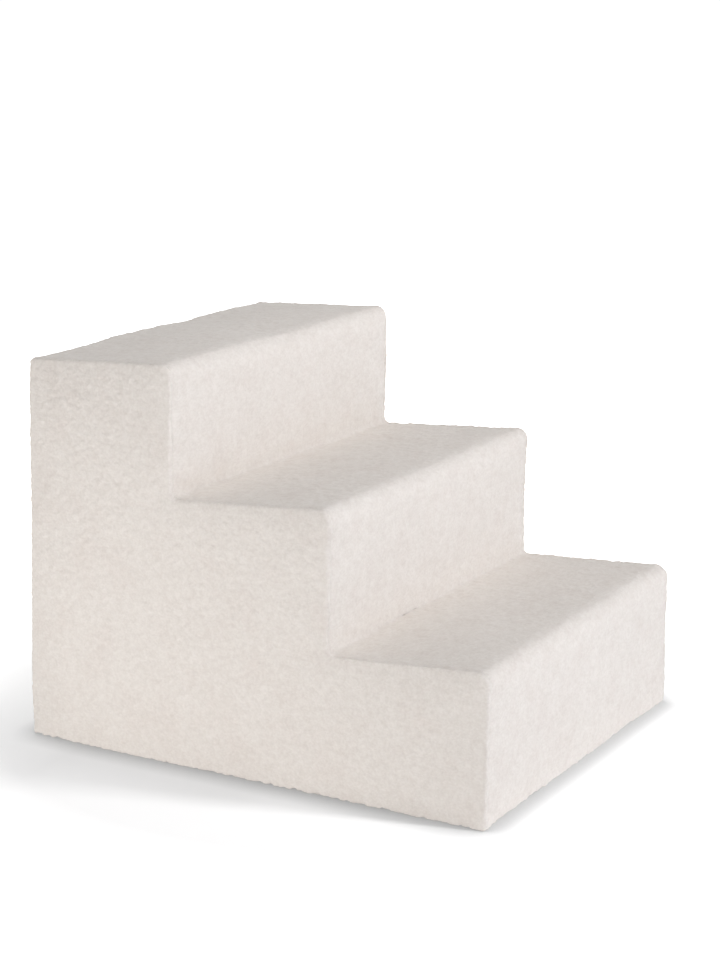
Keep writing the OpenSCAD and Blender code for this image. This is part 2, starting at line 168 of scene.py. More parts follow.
@dataclass
class Shell:
    """A closed surface: points, polygons by count of corners, and one UV pair and one painted shade
    a point.

    The closing faces are flat or out of sight, and don't turn the normals of the others.
    """

    points: Array
    polygons: list[Array]
    closing: list[Array] = field(default_factory=list)
    uv: Array | None = None
    shade: Array | None = None

    def outward(self) -> "Shell":
        """Turns every face round if the enclosed volume, the sum of a.(b x c)/6, is negative."""
        a, b, c = self.points[triangles_of(self.polygons + self.closing).T]
        if np.einsum("ij,ij->i", a, np.cross(b, c)).sum() < 0:
            self.polygons = [p[:, ::-1] for p in self.polygons]
            self.closing = [p[:, ::-1] for p in self.closing]
        return self

    def raise_by(self, height: Array) -> None:
        """Moves each point along its normal, the sum of its triangles' cross products."""
        triangles = triangles_of(self.polygons)
        a, b, c = self.points[triangles.T]
        total = np.zeros_like(self.points)
        for corner in triangles.T:
            np.add.at(total, corner, np.cross(b - a, c - a))
        normals = total / np.maximum(np.linalg.norm(total, axis=1, keepdims=True), NEAR_ZERO)
        self.points = self.points + normals * height[:, None]

    def half_area(self) -> float:
        """Half of the surface's area in square metres: one face of a thin sheet.

        Formula: a polygon's area is half the length of the sum of (p_k - p_0) x (p_k+1 - p_0).
        """
        total = 0.0
        for polygons in self.polygons + self.closing:
            spokes = self.points[polygons[:, 1:]] - self.points[polygons[:, :1]]
            across = np.cross(spokes[:, :-1], spokes[:, 1:]).sum(axis=1)
            total += np.linalg.norm(across, axis=1).sum()
        return float(total) / 4 * MM * MM


def tube(grid: Array, uv: Array | None = None) -> Shell:
    """A tube through rings of points, a (rows, columns, 3) grid, with flat ends."""
    rows, columns = grid.shape[:2]
    sides, caps = grid_quads(rows, columns), end_caps(rows, columns)
    return Shell(grid.reshape(-1, 3), [sides], [caps], uv).outward()


def wire(centre: Array, first: Array, second: Array, radius: Array | float, sides: int) -> Array:
    """Rings centre + radius (first cos a + second sin a) round a line, as a grid of points."""
    a = np.linspace(0, 2 * math.pi, sides, endpoint=False)[None, :, None]
    ring = first[:, None] * np.cos(a) + second[:, None] * np.sin(a)
    return centre[:, None] + ring * np.reshape(radius, (-1, 1, 1))


def joined(shells: Sequence[Shell]) -> Shell:
    """Several shells as one, with their point numbers moved on."""
    starts = np.cumsum([0] + [len(s.points) for s in shells[:-1]])
    polygons = [p + start for s, start in zip(shells, starts) for p in s.polygons]
    closing = [p + start for s, start in zip(shells, starts) for p in s.closing]
    return Shell(np.concatenate([s.points for s in shells]), polygons, closing)


def make_piece(name: str, shell: Shell, material: Material) -> Piece:
    """Fills a mesh with a shell and puts it into the scene, at the origin.

    Args:
        name: the piece's name.
        shell: its surface in millimetres, smooth but for its closing faces.
        material: its finish.
    Returns:
        The new object.
    """
    mesh = bpy.data.meshes.new(name)
    faces = shell.polygons + shell.closing
    sizes = np.concatenate([np.full(len(p), p.shape[1]) for p in faces])
    loops = np.concatenate([p.ravel() for p in faces])
    smooth = np.arange(len(sizes)) < sum(len(p) for p in shell.polygons)
    mesh.vertices.add(len(shell.points))
    mesh.vertices.foreach_set("co", (shell.points * MM).astype(np.float32).ravel())
    mesh.loops.add(len(loops))
    mesh.loops.foreach_set("vertex_index", loops.astype(np.int32))
    mesh.polygons.add(len(sizes))
    mesh.polygons.foreach_set("loop_start", (np.cumsum(sizes) - sizes).astype(np.int32))
    mesh.polygons.foreach_set("use_smooth", smooth)
    mesh.update(calc_edges=True)
    if shell.uv is not None:
        layer = mesh.uv_layers.new(name="Along")
        layer.data.foreach_set("uv", shell.uv[loops].astype(np.float32).ravel())
    # Painted shade, where the shell has it, goes to the mesh as its Shade attribute.
    if shell.shade is not None:
        shade = mesh.attributes.new("Shade", "FLOAT", "POINT")
        shade.data.foreach_set("value", shell.shade.astype(np.float32))
    mesh.validate()
    mesh.materials.append(material)
    piece = bpy.data.objects.new(name, mesh)
    bpy.context.scene.collection.objects.link(piece)
    return piece


# ---- Outlines ----


@dataclass
class Chain:
    """A line of straight and round stretches, each sampled without its last point."""

    points: list[Array] = field(default_factory=list)
    swells: list[Array] = field(default_factory=list)
    tips: list[Array] = field(default_factory=list)
    nooks: list[Array] = field(default_factory=list)

    def straight(self, start: Pair, end: Pair, count: int, way: Pair = (0.0, 0.0)) -> None:
        """Adds start + (end - start) s, with a swell of (4 s (1 - s))^1.5 in the direction way."""
        s = (np.arange(count) / count)[:, None]
        self.points.append(np.array(start) + (np.array(end) - np.array(start)) * s)
        self.swells.append((4 * s * (1 - s)) ** 1.5 * np.array(way))

    def bend(self, centre: Pair, radius: float, first: float, last: float, count: int) -> None:
        """Adds centre + radius (cos a, sin a), for a from the first angle to the last."""
        a = np.radians(first + (last - first) * np.arange(count) / count)
        self.points.append(np.array(centre) + radius * np.stack([np.cos(a), np.sin(a)], axis=1))
        self.swells.append(np.zeros((count, 2)))

    def line(self) -> Array:
        """All points of the line in order."""
        return np.concatenate(self.points)

    def swell(self) -> Array:
        """The swell at each point, as a share of the crown."""
        return np.concatenate(self.swells)

    def sag(self, reach: float) -> Array:
        """Share of the noses' sag at each point, eased with the distance to the nearest tip."""
        away = np.linalg.norm(self.line()[:, None] - np.array(self.tips)[None], axis=2)
        return ease(away.min(axis=1), reach)

    def to_nooks(self) -> tuple[Array, Array]:
        """The ways from every point to every nook, and their lengths."""
        ways = np.array(self.nooks)[None] - self.line()[:, None]
        return ways, np.linalg.norm(ways, axis=2)

    def shade(self, nook: Pair, foot: Pair) -> Array:
        """Painted shade in the nooks: a bell all round, and one more on the tread alone.

        Args:
            nook: share and width of the shade all round.
            foot: share and width of the shade on the tread.
        Returns:
            The shade at each point, from 0 to 1.
        """
        ways, away = self.to_nooks()
        tread = ways[..., 0] > np.abs(ways[..., 1])
        parts = nook[0] * bell(away, nook[1]) + tread * foot[0] * bell(away, foot[1])
        return parts.max(axis=1)

    def tuck(self, reach: float) -> Array:
        """The way from each point to its nearest nook, eased with its distance from it."""
        ways, away = self.to_nooks()
        nearest = np.arange(len(ways)), away.argmin(axis=1)
        return ways[nearest] * ease(away[nearest], reach)[:, None]


def corners_outline(corners: Sequence[Pair], pitch: float, margin: float) -> Array:
    """Samples a closed polygon, leaving out points nearer to a corner than a margin.

    Args:
        corners: the polygon's corners in order.
        pitch: distance between points on a straight stretch.
        margin: least distance of a point from a corner, so that a fold has room there.
    Returns:
        (count, 2) points, each corner among them.
    """
    parts = []
    for a, b in zip(corners, [*corners[1:], corners[0]]):
        a, b = np.array(a, float), np.array(b, float)
        length = np.linalg.norm(b - a)
        room = length - 2 * margin
        shares = np.zeros(1)
        if room > pitch:
            steps = np.linspace(0, room, max(2, int(room / pitch) + 1))
            shares = np.append(shares, (margin + steps) / length)
        parts.append(a + (b - a) * shares[:, None])
    return np.concatenate(parts)


def drawn_in(outline: Array, distance: float) -> Array:
    """A closed outline, counterclockwise, moved inwards.

    Formula: each point moves by distance (n1 + n2) / (1 + n1.n2), with n1 and n2 the inward
    normals of the stretches before and after it.
    """
    ahead = unit(np.roll(outline, -1, axis=0) - outline)
    n2 = np.stack([-ahead[:, 1], ahead[:, 0]], axis=1)
    n1 = np.roll(n2, 1, axis=0)
    return outline + distance * (n1 + n2) / (1 + (n1 * n2).sum(axis=1))[:, None]


def chunks(count: int) -> list[Array]:
    """The numbers of count points in parts small enough for a table of their distances."""
    return np.array_split(np.arange(count), max(1, count // CHUNK))


def inside(points: Array, outline: Array) -> Array:
    """Whether the ray along +X from each point crosses a closed outline an odd number of times."""
    a, b = outline, np.roll(outline, -1, axis=0)
    found = np.zeros(len(points), bool)
    for part in chunks(len(points)):
        x, y = points[part, 0][:, None], points[part, 1][:, None]
        spans = (a[:, 1] > y) != (b[:, 1] > y)
        rise = np.where(b[:, 1] == a[:, 1], 1, b[:, 1] - a[:, 1])
        cross = a[:, 0] + (y - a[:, 1]) / rise * (b[:, 0] - a[:, 0])
        found[part] = (spans & (x < cross)).sum(axis=1) % 2 == 1
    return found


def rim_distances(points: Array, outline: Array) -> tuple[Array, Array]:
    """Least and softened distance of each point from a closed outline.

    Formula of the softened one: (sum of step / r^6 over the outline, over its value for a straight
    line at distance 1) to the power -1/5, with r the distance to each outline point.
    """
    ahead, behind = (np.roll(outline, k, axis=0) for k in (-1, 1))
    step = np.linalg.norm(ahead - behind, axis=1) / 2
    straight_line = math.sqrt(math.pi) * math.gamma(2.5) / math.gamma(3)
    least, soft = np.zeros(len(points)), np.zeros(len(points))
    for part in chunks(len(points)):
        square = ((points[part][:, None] - outline[None]) ** 2).sum(axis=2)
        least[part] = np.sqrt(square.min(axis=1))
        soft[part] = ((step / square ** 3).sum(axis=1) / straight_line) ** -0.2
    return least, soft


# ---- Sizes ----


def node_box(node: str) -> tuple[Array, Array]:
    """Lowest and highest corner of a CAD node in millimetres."""
    low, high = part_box(node)
    return np.array(low) / MM, np.array(high) / MM


@dataclass(frozen=True)
class StairSizes:
    """The stairs' faces at their seams, read from the frame, and the radii of their edges."""

    foam_x: float
    foam_y: Array
    foam_z: Array
    slab_top_z: Array
    foam_back_y: float
    floor_z: float
    base_top_z: float
    cover_t: float = 6.0
    nose_r: float = 12.0
    corner_r: float = 7.0
    back_edge_r: float = 5.0
    seam_r: float = 3.0
    least_r: float = 1.0
    falls: Triple = (9.0, 12.0, 9.0)
    tread_crown: float = 2.0
    side_crown: float = 2.5
    back_crown: float = 2.0
    crown_reach: float = 45.0

    @classmethod
    def from_frame(cls) -> "StairSizes":
        """Reads the foam's and the base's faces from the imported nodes."""
        lows, highs = np.stack([node_box(f"tread_pad_{level}") for level in LEVELS], axis=1)
        base_low, base_high = node_box("base_panel")
        return cls(foam_x=highs[0, 0], foam_y=lows[:, 1], foam_z=highs[:, 2],
                   slab_top_z=lows[:, 2], foam_back_y=highs[2, 1], floor_z=base_low[2],
                   base_top_z=base_high[2])

    @property
    def riser_y(self) -> Array:
        """Faces of the risers at their side seams."""
        return self.foam_y - self.cover_t

    @property
    def tread_z(self) -> Array:
        """Heights of the noses at their side seams."""
        return self.foam_z + self.cover_t

    @property
    def tread_back_z(self) -> Array:
        """Heights of the treads at their back ends."""
        return self.tread_z - self.falls

    @property
    def back_y(self) -> float:
        """Face of the back at its seams."""
        return self.foam_back_y + self.cover_t

    @property
    def top_seam_z(self) -> float:
        """Height of the seam along the top of the back."""
        return self.tread_back_z[2] - self.back_edge_r

    def left_of(self, radius: float, inset: float) -> float:
        """Radius left of a rounded outer edge that is drawn in."""
        return max(radius - inset, self.least_r)

    def stair_chain(self, inset: float, pitch: float) -> Chain:
        """The stepped line from the floor at the front, up the steps and over to the back.

        Args:
            inset: distance that the line is drawn in from the seams.
            pitch: distance between its points; their count doesn't change with the inset.
        Returns:
            The chain, whose swell leans out of each riser and tread.
        """
        chain = Chain()
        foot_r, nose_r, top_r = (self.left_of(radius, inset)
                                 for radius in (self.seam_r, self.nose_r, self.back_edge_r))
        foot = (self.riser_y[0] + inset + foot_r, self.floor_z + inset + foot_r)
        last_y = self.back_y - inset - top_r
        lows = (self.floor_z, *self.tread_back_z[:2])
        backs = (*self.riser_y[1:], self.back_y)

        def count(length: float) -> int:
            """How many points a stretch gets."""
            return max(3, round(length / pitch))

        def quarter(radius: float) -> int:
            """How many points a quarter turn gets."""
            return count(radius * math.pi / 2)

        chain.bend(foot, foot_r, 270, 180, 2 * quarter(self.seam_r))
        for i, (low, back) in enumerate(zip(lows, backs)):
            y, z = self.riser_y[i] + inset, self.tread_z[i] - inset
            start_z = low + self.corner_r if i else foot[1]
            end_y = back - self.corner_r if i < 2 else last_y
            rise, run = self.tread_z[i] - low, back - self.riser_y[i]
            centre = (y + nose_r, z - nose_r)
            chain.straight((y, start_z), (y, centre[1]), count(rise - 2 * self.nose_r), (-1, 0))
            chain.bend(centre, nose_r, 180, 90, quarter(self.nose_r))
            chain.tips.append(np.array(centre) + nose_r * np.array([-1.0, 1.0]) / math.sqrt(2))
            chain.straight((centre[0], z), (end_y, self.tread_back_z[i] - inset),
                           count(run - 2 * self.nose_r), (0, 1))
            if i < 2:
                chain.nooks.append(np.array([back, self.tread_back_z[i]]))
                chain.bend((end_y, self.tread_back_z[i] + self.corner_r), self.corner_r + inset,
                           -90, 0, quarter(self.corner_r))
        centre = (last_y, self.tread_back_z[2] - inset - top_r)
        chain.bend(centre, top_r, 90, 0, 2 * quarter(self.back_edge_r))
        end = (centre[0] + top_r, centre[1])
        chain.straight(end, end, 1)
        return chain

    def side_outline(self, inset: float, pitch: float) -> Array:
        """The whole closed outline of a side, counterclockwise: Y to the left, Z up."""
        chain = self.stair_chain(inset, pitch)
        top = chain.points.pop()[0]
        foot_r = self.left_of(self.seam_r, inset)
        centre = (self.back_y - inset - foot_r, self.floor_z + inset + foot_r)
        chain.straight(top, (self.back_y - inset, centre[1]),
                       round((self.tread_z[2] - 2 * self.nose_r) / pitch))
        chain.bend(centre, foot_r, 0, -90, 2 * max(3, round(self.seam_r * math.pi / 2 / pitch)))
        low = self.floor_z + inset
        chain.straight((centre[0], low), (self.riser_y[0] + inset + foot_r, low),
                       round((self.back_y - self.riser_y[0]) / pitch))
        return chain.line()[::-1]


@dataclass(frozen=True)
class ZipSizes:
    """The zip's route on the back and the widths of its parts."""

    x: float
    end_z: float
    coil_end_z: float
    low: float = 34.0
    bend_r: float = 30.0
    channel_half: float = 7.0
    tape_w: float = 16.0
    tape_t: float = 0.6
    tape_tail: float = 10.0
    slot_half: float = 0.8
    coil_half: float = 3.2
    coil_t: float = 2.0
    stitch_inset: float = 4.0

    @classmethod
    def from_frame(cls) -> "ZipSizes":
        """Reads the zip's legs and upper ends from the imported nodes."""
        slider, tacks, stops = map(node_box, ("zip_slider", "zip_bar_tacks", "zip_top_stops"))
        return cls(x=(slider[0][0] + slider[1][0]) / 2, end_z=tacks[1][2], coil_end_z=stops[0][2])

    def leg(self, top: float) -> float:
        """Length of a straight leg from a height down to the bend."""
        return top - self.low - self.bend_r

    def length(self, top: float) -> float:
        """Length of the route between its two upper ends at a height."""
        return 2 * self.leg(top) + math.pi * self.bend_r + 2 * (self.x - self.bend_r)

    def along(self, s: Array, top: float) -> tuple[Array, Array, Array]:
        """Place, direction and outward normal at distances along the route.

        Formula: down the -X leg, a quarter turn, along the bottom, a quarter turn and up the
        +X leg.

        Args:
            s: distances from the upper end of the -X leg.
            top: height of that end.
        Returns:
            Three (count, 2) arrays in X and Z.
        """
        turn, bottom = math.pi / 2 * self.bend_r, 2 * (self.x - self.bend_r)
        marks = np.cumsum([self.leg(top), turn, bottom, turn])
        angle = np.radians(180) + np.clip(s - marks[0], 0, turn) / self.bend_r \
            + np.clip(s - marks[2], 0, turn) / self.bend_r
        normal = np.stack([np.cos(angle), np.sin(angle)], axis=1)
        way = np.stack([-np.sin(angle), np.cos(angle)], axis=1)
        x = -(self.x - self.bend_r) + np.clip(s - marks[1], 0, bottom)
        z = self.low + self.bend_r + np.maximum(marks[0] - s, 0) + np.maximum(s - marks[3], 0)
        return np.stack([x, z], axis=1) + self.bend_r * normal, way, normal

    def offset_from(self, x: Array, z: Array) -> Array:
        """Signed distance of places on the back from the route, positive outside it."""
        over = np.maximum(np.abs(x) - (self.x - self.bend_r), 0)
        under = np.maximum(self.low + self.bend_r - z, 0)
        round_part = np.hypot(over, under) - self.bend_r
        flat = np.maximum(np.abs(x) - self.x, self.low - z)
        return np.where((over > 0) & (under > 0), round_part, flat)


# ---- Shader nodes ----


class Graph:
    """Adds nodes to a node tree and joins their sockets."""

    def __init__(self, tree: bpy.types.NodeTree) -> None:
        """Starts with an empty tree."""
        self.tree = tree
        tree.nodes.clear()

    def feed(self, node: bpy.types.Node, inputs: dict[str | int, object]) -> None:
        """Links output sockets to a node's inputs, or sets values there, by name or number."""
        for key, value in inputs.items():
            if isinstance(value, Socket):
                self.tree.links.new(value, node.inputs[key])
            else:
                node.inputs[key].default_value = value

    def add(self, kind: str, inputs: dict[str | int, object] | None = None,
            **settings: object) -> bpy.types.Node:
        """Adds a node.

        Args:
            kind: the node's type name.
            inputs: values or output sockets by input name or number.
            settings: attributes of the node.
        Returns:
            The node.
        """
        node = self.tree.nodes.new(kind)
        for key, value in settings.items():
            setattr(node, key, value)
        self.feed(node, inputs or {})
        return node

    def mix(self, factor: object, a: object, b: object, blend: str = "MIX") -> Socket:
        """A colour mix of a and b."""
        return self.add("ShaderNodeMix", {0: factor, 6: a, 7: b}, data_type="RGBA",
                        blend_type=blend).outputs[2]

    def math(self, operation: str, *values: object, clamp: bool = False) -> Socket:
        """The result of a Math node on values or sockets."""
        return self.add("ShaderNodeMath", dict(enumerate(values)), operation=operation,
                        use_clamp=clamp).outputs[0]

    def times(self, a: object, b: object) -> Socket:
        """a times b."""
        return self.math("MULTIPLY", a, b)

    def noise(self, vector: object, scale: object, detail: float, rough: float) -> Socket:
        """A noise texture on a vector."""
        return self.add("ShaderNodeTexNoise", {
            "Vector": vector, "Scale": scale, "Detail": detail, "Roughness": rough}).outputs[0]

    def ramp(self, value: object, low: float, high: float) -> Socket:
        """Maps low..high of a value to 0..1 and holds it there."""
        return self.add("ShaderNodeMapRange", {
            "Value": value, "From Min": low, "From Max": high}).outputs[0]


def rgba(colour: Triple) -> tuple[float, float, float, float]:
    """A linear colour with full alpha."""
    return (*colour, 1.0)


def effect(name: str, colours: Sequence[str], numbers: Sequence[str]
           ) -> tuple[Graph, bpy.types.NodeOutputs, bpy.types.Node]:
    """Starts a node group that makes a colour, a height and a roughness out of a place.

    Args:
        name: the group's name.
        colours: names of its colour inputs.
        numbers: names of its number inputs.
    Returns:
        Its graph, the sockets of its inputs and its output node.
    """
    tree = bpy.data.node_groups.new(name, "ShaderNodeTree")
    for way, kind, keys in (("INPUT", "Vector", ("Vector",)), ("INPUT", "Color", colours),
                            ("INPUT", "Float", numbers), ("OUTPUT", "Color", ("Color",)),
                            ("OUTPUT", "Float", ("Height", "Roughness"))):
        for key in keys:
            tree.interface.new_socket(key, in_out=way, socket_type=f"NodeSocket{kind}")
    graph = Graph(tree)
    return graph, graph.add("NodeGroupInput").outputs, graph.add("NodeGroupOutput")


# In an effect, a pair is a noise's detail and roughness, a ramp's two ends or a sum's two shares.
@cache
def pile_effect(fine: Pair = (3.0, 0.6), soft: Pair = (2.0, 0.55), soft_scale: float = 0.38,
                shares: Pair = (0.62, 0.38), leaning: Pair = (0.36, 0.62),
                blotches: Pair = (0.45, 0.7), warmth: float = 0.7, gloss: float = 0.12,
                painted_shade_colour: Triple = (0.12, 0.10, 0.09)) -> bpy.types.NodeTree:
    """Short pile: fine mottling, darker where tufts lean apart (random tone and painted shade
    between the tufts), faint warmer blotches, painted shade from the Shade input, and relief.
    """
    g, given, sink = effect("short_pile", ("Tip", "Root", "Blush"),
                            ("Tuft Scale", "Blotch Scale", "Mottle", "Shade"))
    napped = g.add("ShaderNodeVectorMath", {0: given["Vector"], 1: NAP},
                   operation="MULTIPLY").outputs[0]
    tufts = g.noise(napped, given["Tuft Scale"], *fine)
    coarse = g.noise(napped, g.times(given["Tuft Scale"], soft_scale), *soft)
    blotch = g.noise(given["Vector"], given["Blotch Scale"], *fine)
    both = g.math("ADD", g.times(tufts, shares[0]), g.times(coarse, shares[1]))
    depth = g.ramp(both, *leaning)
    # Painted shade between the tufts: where the relief is low the colour goes towards the darker
    # root colour, on top of the random mottling.
    pile = g.mix(g.times(g.math("SUBTRACT", 1.0, depth), given["Mottle"]),
                 given["Tip"], given["Root"])
    warmed = g.mix(g.times(g.ramp(blotch, *blotches), warmth), pile, given["Blush"], "MULTIPLY")
    # Painted shade: the Shade input darkens the colour towards a dark brown in the stair strip's
    # nooks.
    g.feed(sink, {"Color": g.mix(given["Shade"], warmed, rgba(painted_shade_colour)), "Height": both,
                  "Roughness": g.math("SUBTRACT", 1.0, g.times(depth, gloss))})
    return g.tree


@cache
def weave_effect(dye_scale: float = 160.0, dye: Pair = (4.0, 0.6), crests: Pair = (0.15, 0.75),
                 dyed: Pair = (0.1, 0.6), roughness: float = 0.72,
                 rougher: float = 0.2) -> bpy.types.NodeTree:
    """Plain weave: two crossed sets of round yarns, over and under in turn, uneven in colour."""
    g, given, sink = effect("plain_weave", ("Yarn", "Gap"), ("Yarns",))
    place = g.add("ShaderNodeSeparateXYZ", {0: given["Vector"]}).outputs
    waves = [g.math("SINE", g.times(place[k], given["Yarns"])) for k in (0, 1)]
    warp, weft = (g.math("ABSOLUTE", wave) for wave in waves)
    signs = g.times(*(g.math("SIGN", wave) for wave in waves))
    over = g.math("ADD", g.times(signs, 0.5), 0.5)
    height = g.math("ADD", g.times(over, warp), g.times(g.math("SUBTRACT", 1.0, over), weft))
    uneven = g.noise(given["Vector"], dye_scale, *dye)
    # The yarn's colour shows on the crests where the dye noise is high; the gap's darker colour
    # fills the troughs between the yarns.
    yarn_share = g.math("MULTIPLY", g.ramp(height, *crests), g.ramp(uneven, *dyed), clamp=True)
    g.feed(sink, {"Color": g.mix(yarn_share, given["Gap"], given["Yarn"]), "Height": height,
                  "Roughness": g.math("ADD", roughness, g.times(uneven, rougher))})
    return g.tree


@cache
def grain_effect(cloud_scale: float = 0.12, soft: Pair = (3.0, 0.6), sharp: Pair = (4.0, 0.65),
                 clouds: Pair = (0.35, 0.65), specks: Pair = (0.3, 0.6)) -> bpy.types.NodeTree:
    """Fine grain for moulded, cast and spun surfaces: specks in a slow cloudiness."""
    g, given, sink = effect("fine_grain", ("Light", "Dark"),
                            ("Scale", "Low Roughness", "High Roughness"))
    cloud = g.noise(given["Vector"], g.times(given["Scale"], cloud_scale), *soft)
    speck = g.noise(given["Vector"], given["Scale"], *sharp)
    mask = g.times(g.ramp(cloud, *clouds), g.ramp(speck, *specks))
    span = g.math("SUBTRACT", given["High Roughness"], given["Low Roughness"])
    g.feed(sink, {"Color": g.mix(mask, given["Light"], given["Dark"]), "Height": speck,
                  "Roughness": g.math("ADD", given["Low Roughness"], g.times(span, mask))})
    return g.tree


@cache
def foam_effect(cloud_scale: float = 30.0, soft: Pair = (3.0, 0.6), pits: Pair = (0.15, 0.6),
                tones: Pair = (0.8, 0.3), gloss: float = 0.15) -> bpy.types.NodeTree:
    """Open cells of cut foam: small pits of uneven size between thin walls."""
    g, given, sink = effect("foam_cells", ("Wall", "Pit"), ("Scale",))
    cells = g.add("ShaderNodeTexVoronoi", {"Vector": given["Vector"], "Scale": given["Scale"]})
    cloud = g.noise(given["Vector"], cloud_scale, *soft)
    pit = g.ramp(cells.outputs["Distance"], *pits)
    tone = g.math("ADD", g.times(pit, tones[0]), g.times(cloud, tones[1]), clamp=True)
    g.feed(sink, {"Color": g.mix(tone, given["Pit"], given["Wall"]), "Height": pit,
                  "Roughness": g.math("SUBTRACT", 1.0, g.times(pit, gloss))})
    return g.tree


@dataclass(frozen=True)
class Finish:
    """A material whose colour, roughness and relief come from one effect.

    The values go to the effect's inputs in their order, after its place, and the relief's height
    is in metres. Attributes of the mesh feed the inputs of their names.
    """

    name: str
    effect: Callable[[], bpy.types.NodeTree]
    values: tuple[float | Triple, ...]
    relief: float
    shader: dict[str, float]
    coordinates: str = "Object"
    attributes: tuple[str, ...] = ()

    def material(self) -> Material:
        """Makes the material."""
        material = bpy.data.materials.new(self.name)
        material.use_nodes = True
        g = Graph(material.node_tree)
        place = g.add("ShaderNodeTexCoord").outputs[self.coordinates]
        values = [x if isinstance(x, float) else rgba(x) for x in self.values]
        group = g.add("ShaderNodeGroup", node_tree=self.effect())
        g.feed(group, dict(enumerate([place, *values])))
        for key in self.attributes:
            shade = g.add("ShaderNodeAttribute", attribute_name=key).outputs["Fac"]
            g.feed(group, {key: shade})
        relief = g.add("ShaderNodeBump", {
            "Height": group.outputs["Height"], "Distance": self.relief, "Strength": 1.0})
        shader = g.add("ShaderNodeBsdfPrincipled", {
            "Base Color": group.outputs["Color"], "Roughness": group.outputs["Roughness"],
            "Normal": relief.outputs[0], **self.shader})
        g.add("ShaderNodeOutputMaterial", {"Surface": shader.outputs[0]})
        return material


CLOTH = {"Specular IOR Level": 0.3, "Sheen Weight": 0.1}
FOAM = {"Specular IOR Level": 0.2, "Sheen Weight": 0.1}
FINISHES = (
    # The plush's second colour, the darker root, is partly painted shade between the tufts; its
    # Shade input takes painted shade from the mesh.
    Finish("plush", pile_effect,
           ((0.814, 0.769, 0.717), (0.66, 0.605, 0.55), (0.96, 0.942, 0.938), 420.0, 34.0, 0.5),
           0.0007, {"Specular IOR Level": 0.15, "Sheen Weight": 0.25, "Sheen Roughness": 0.5},
           attributes=("Shade",)),
    Finish("base_cloth", weave_effect, ((0.17, 0.165, 0.16), (0.05, 0.05, 0.05), 2600.0),
           0.0004, CLOTH),
    Finish("zip_tape", weave_effect, ((0.74, 0.71, 0.67), (0.42, 0.39, 0.36), 5200.0),
           0.0002, CLOTH, "UV"),
    Finish("zip_coil", grain_effect,
           ((0.82, 0.79, 0.74), (0.70, 0.66, 0.61), 2200.0, 0.28, 0.42), 0.00003, {}),
    Finish("thread", grain_effect,
           ((0.84, 0.80, 0.75), (0.62, 0.57, 0.52), 6500.0, 0.6, 0.8), 0.00008,
           {"Specular IOR Level": 0.3}),
    Finish("zip_metal", grain_effect,
           ((0.62, 0.62, 0.61), (0.40, 0.40, 0.395), 1400.0, 0.24, 0.42), 0.00003,
           {"Metallic": 1.0}),
    Finish("silicone", grain_effect,
           ((0.085, 0.085, 0.088), (0.05, 0.05, 0.052), 900.0, 0.45, 0.62), 0.00005, {}),
    Finish("core_foam", foam_effect, ((0.80, 0.75, 0.58), (0.52, 0.46, 0.32), 620.0),
           0.0006, FOAM),
    Finish("pad_foam", foam_effect, ((0.66, 0.74, 0.80), (0.40, 0.47, 0.54), 820.0),
           0.0006, FOAM),
)


@dataclass
class Assembly:
    """What the sub-assemblies share: the sizes and the materials by name."""

    sizes: StairSizes
    zipper: ZipSizes
    materials: dict[str, Material]

    def add(self, name: str, shell: Shell, finish: str, node: str = "") -> Piece:
        """Makes a fixed piece, which may take the place of a CAD node.

        Args:
            name: the piece's name.
            shell: its surface.
            finish: name of its material.
            node: the CAD node that it replaces.
        Returns:
            The piece.
        """
        piece = make_piece(name, shell, self.materials[finish])
        self.settle(piece, "root", finish, node)
        return piece

    def settle(self, piece: Piece, body: str, slot: str, node: str) -> None:
        """Attaches a piece to the body that it rides on and hides the CAD node that it replaces."""
        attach(piece, body)
        if node:
            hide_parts(node)


# ---- Panels of cloth ----


@dataclass(frozen=True)
class Wave:
    """A wave of noise in a relief; the nap makes it longer across the stairs."""

    size: float
    length: float
    seed: int
    nap: Triple = (1.0, 1.0, 1.0)

    def at(self, points: Array) -> Array:
        """Size times the noise at the places times the nap."""
        return self.size * lattice_noise(points * np.array(self.nap), self.length, self.seed)


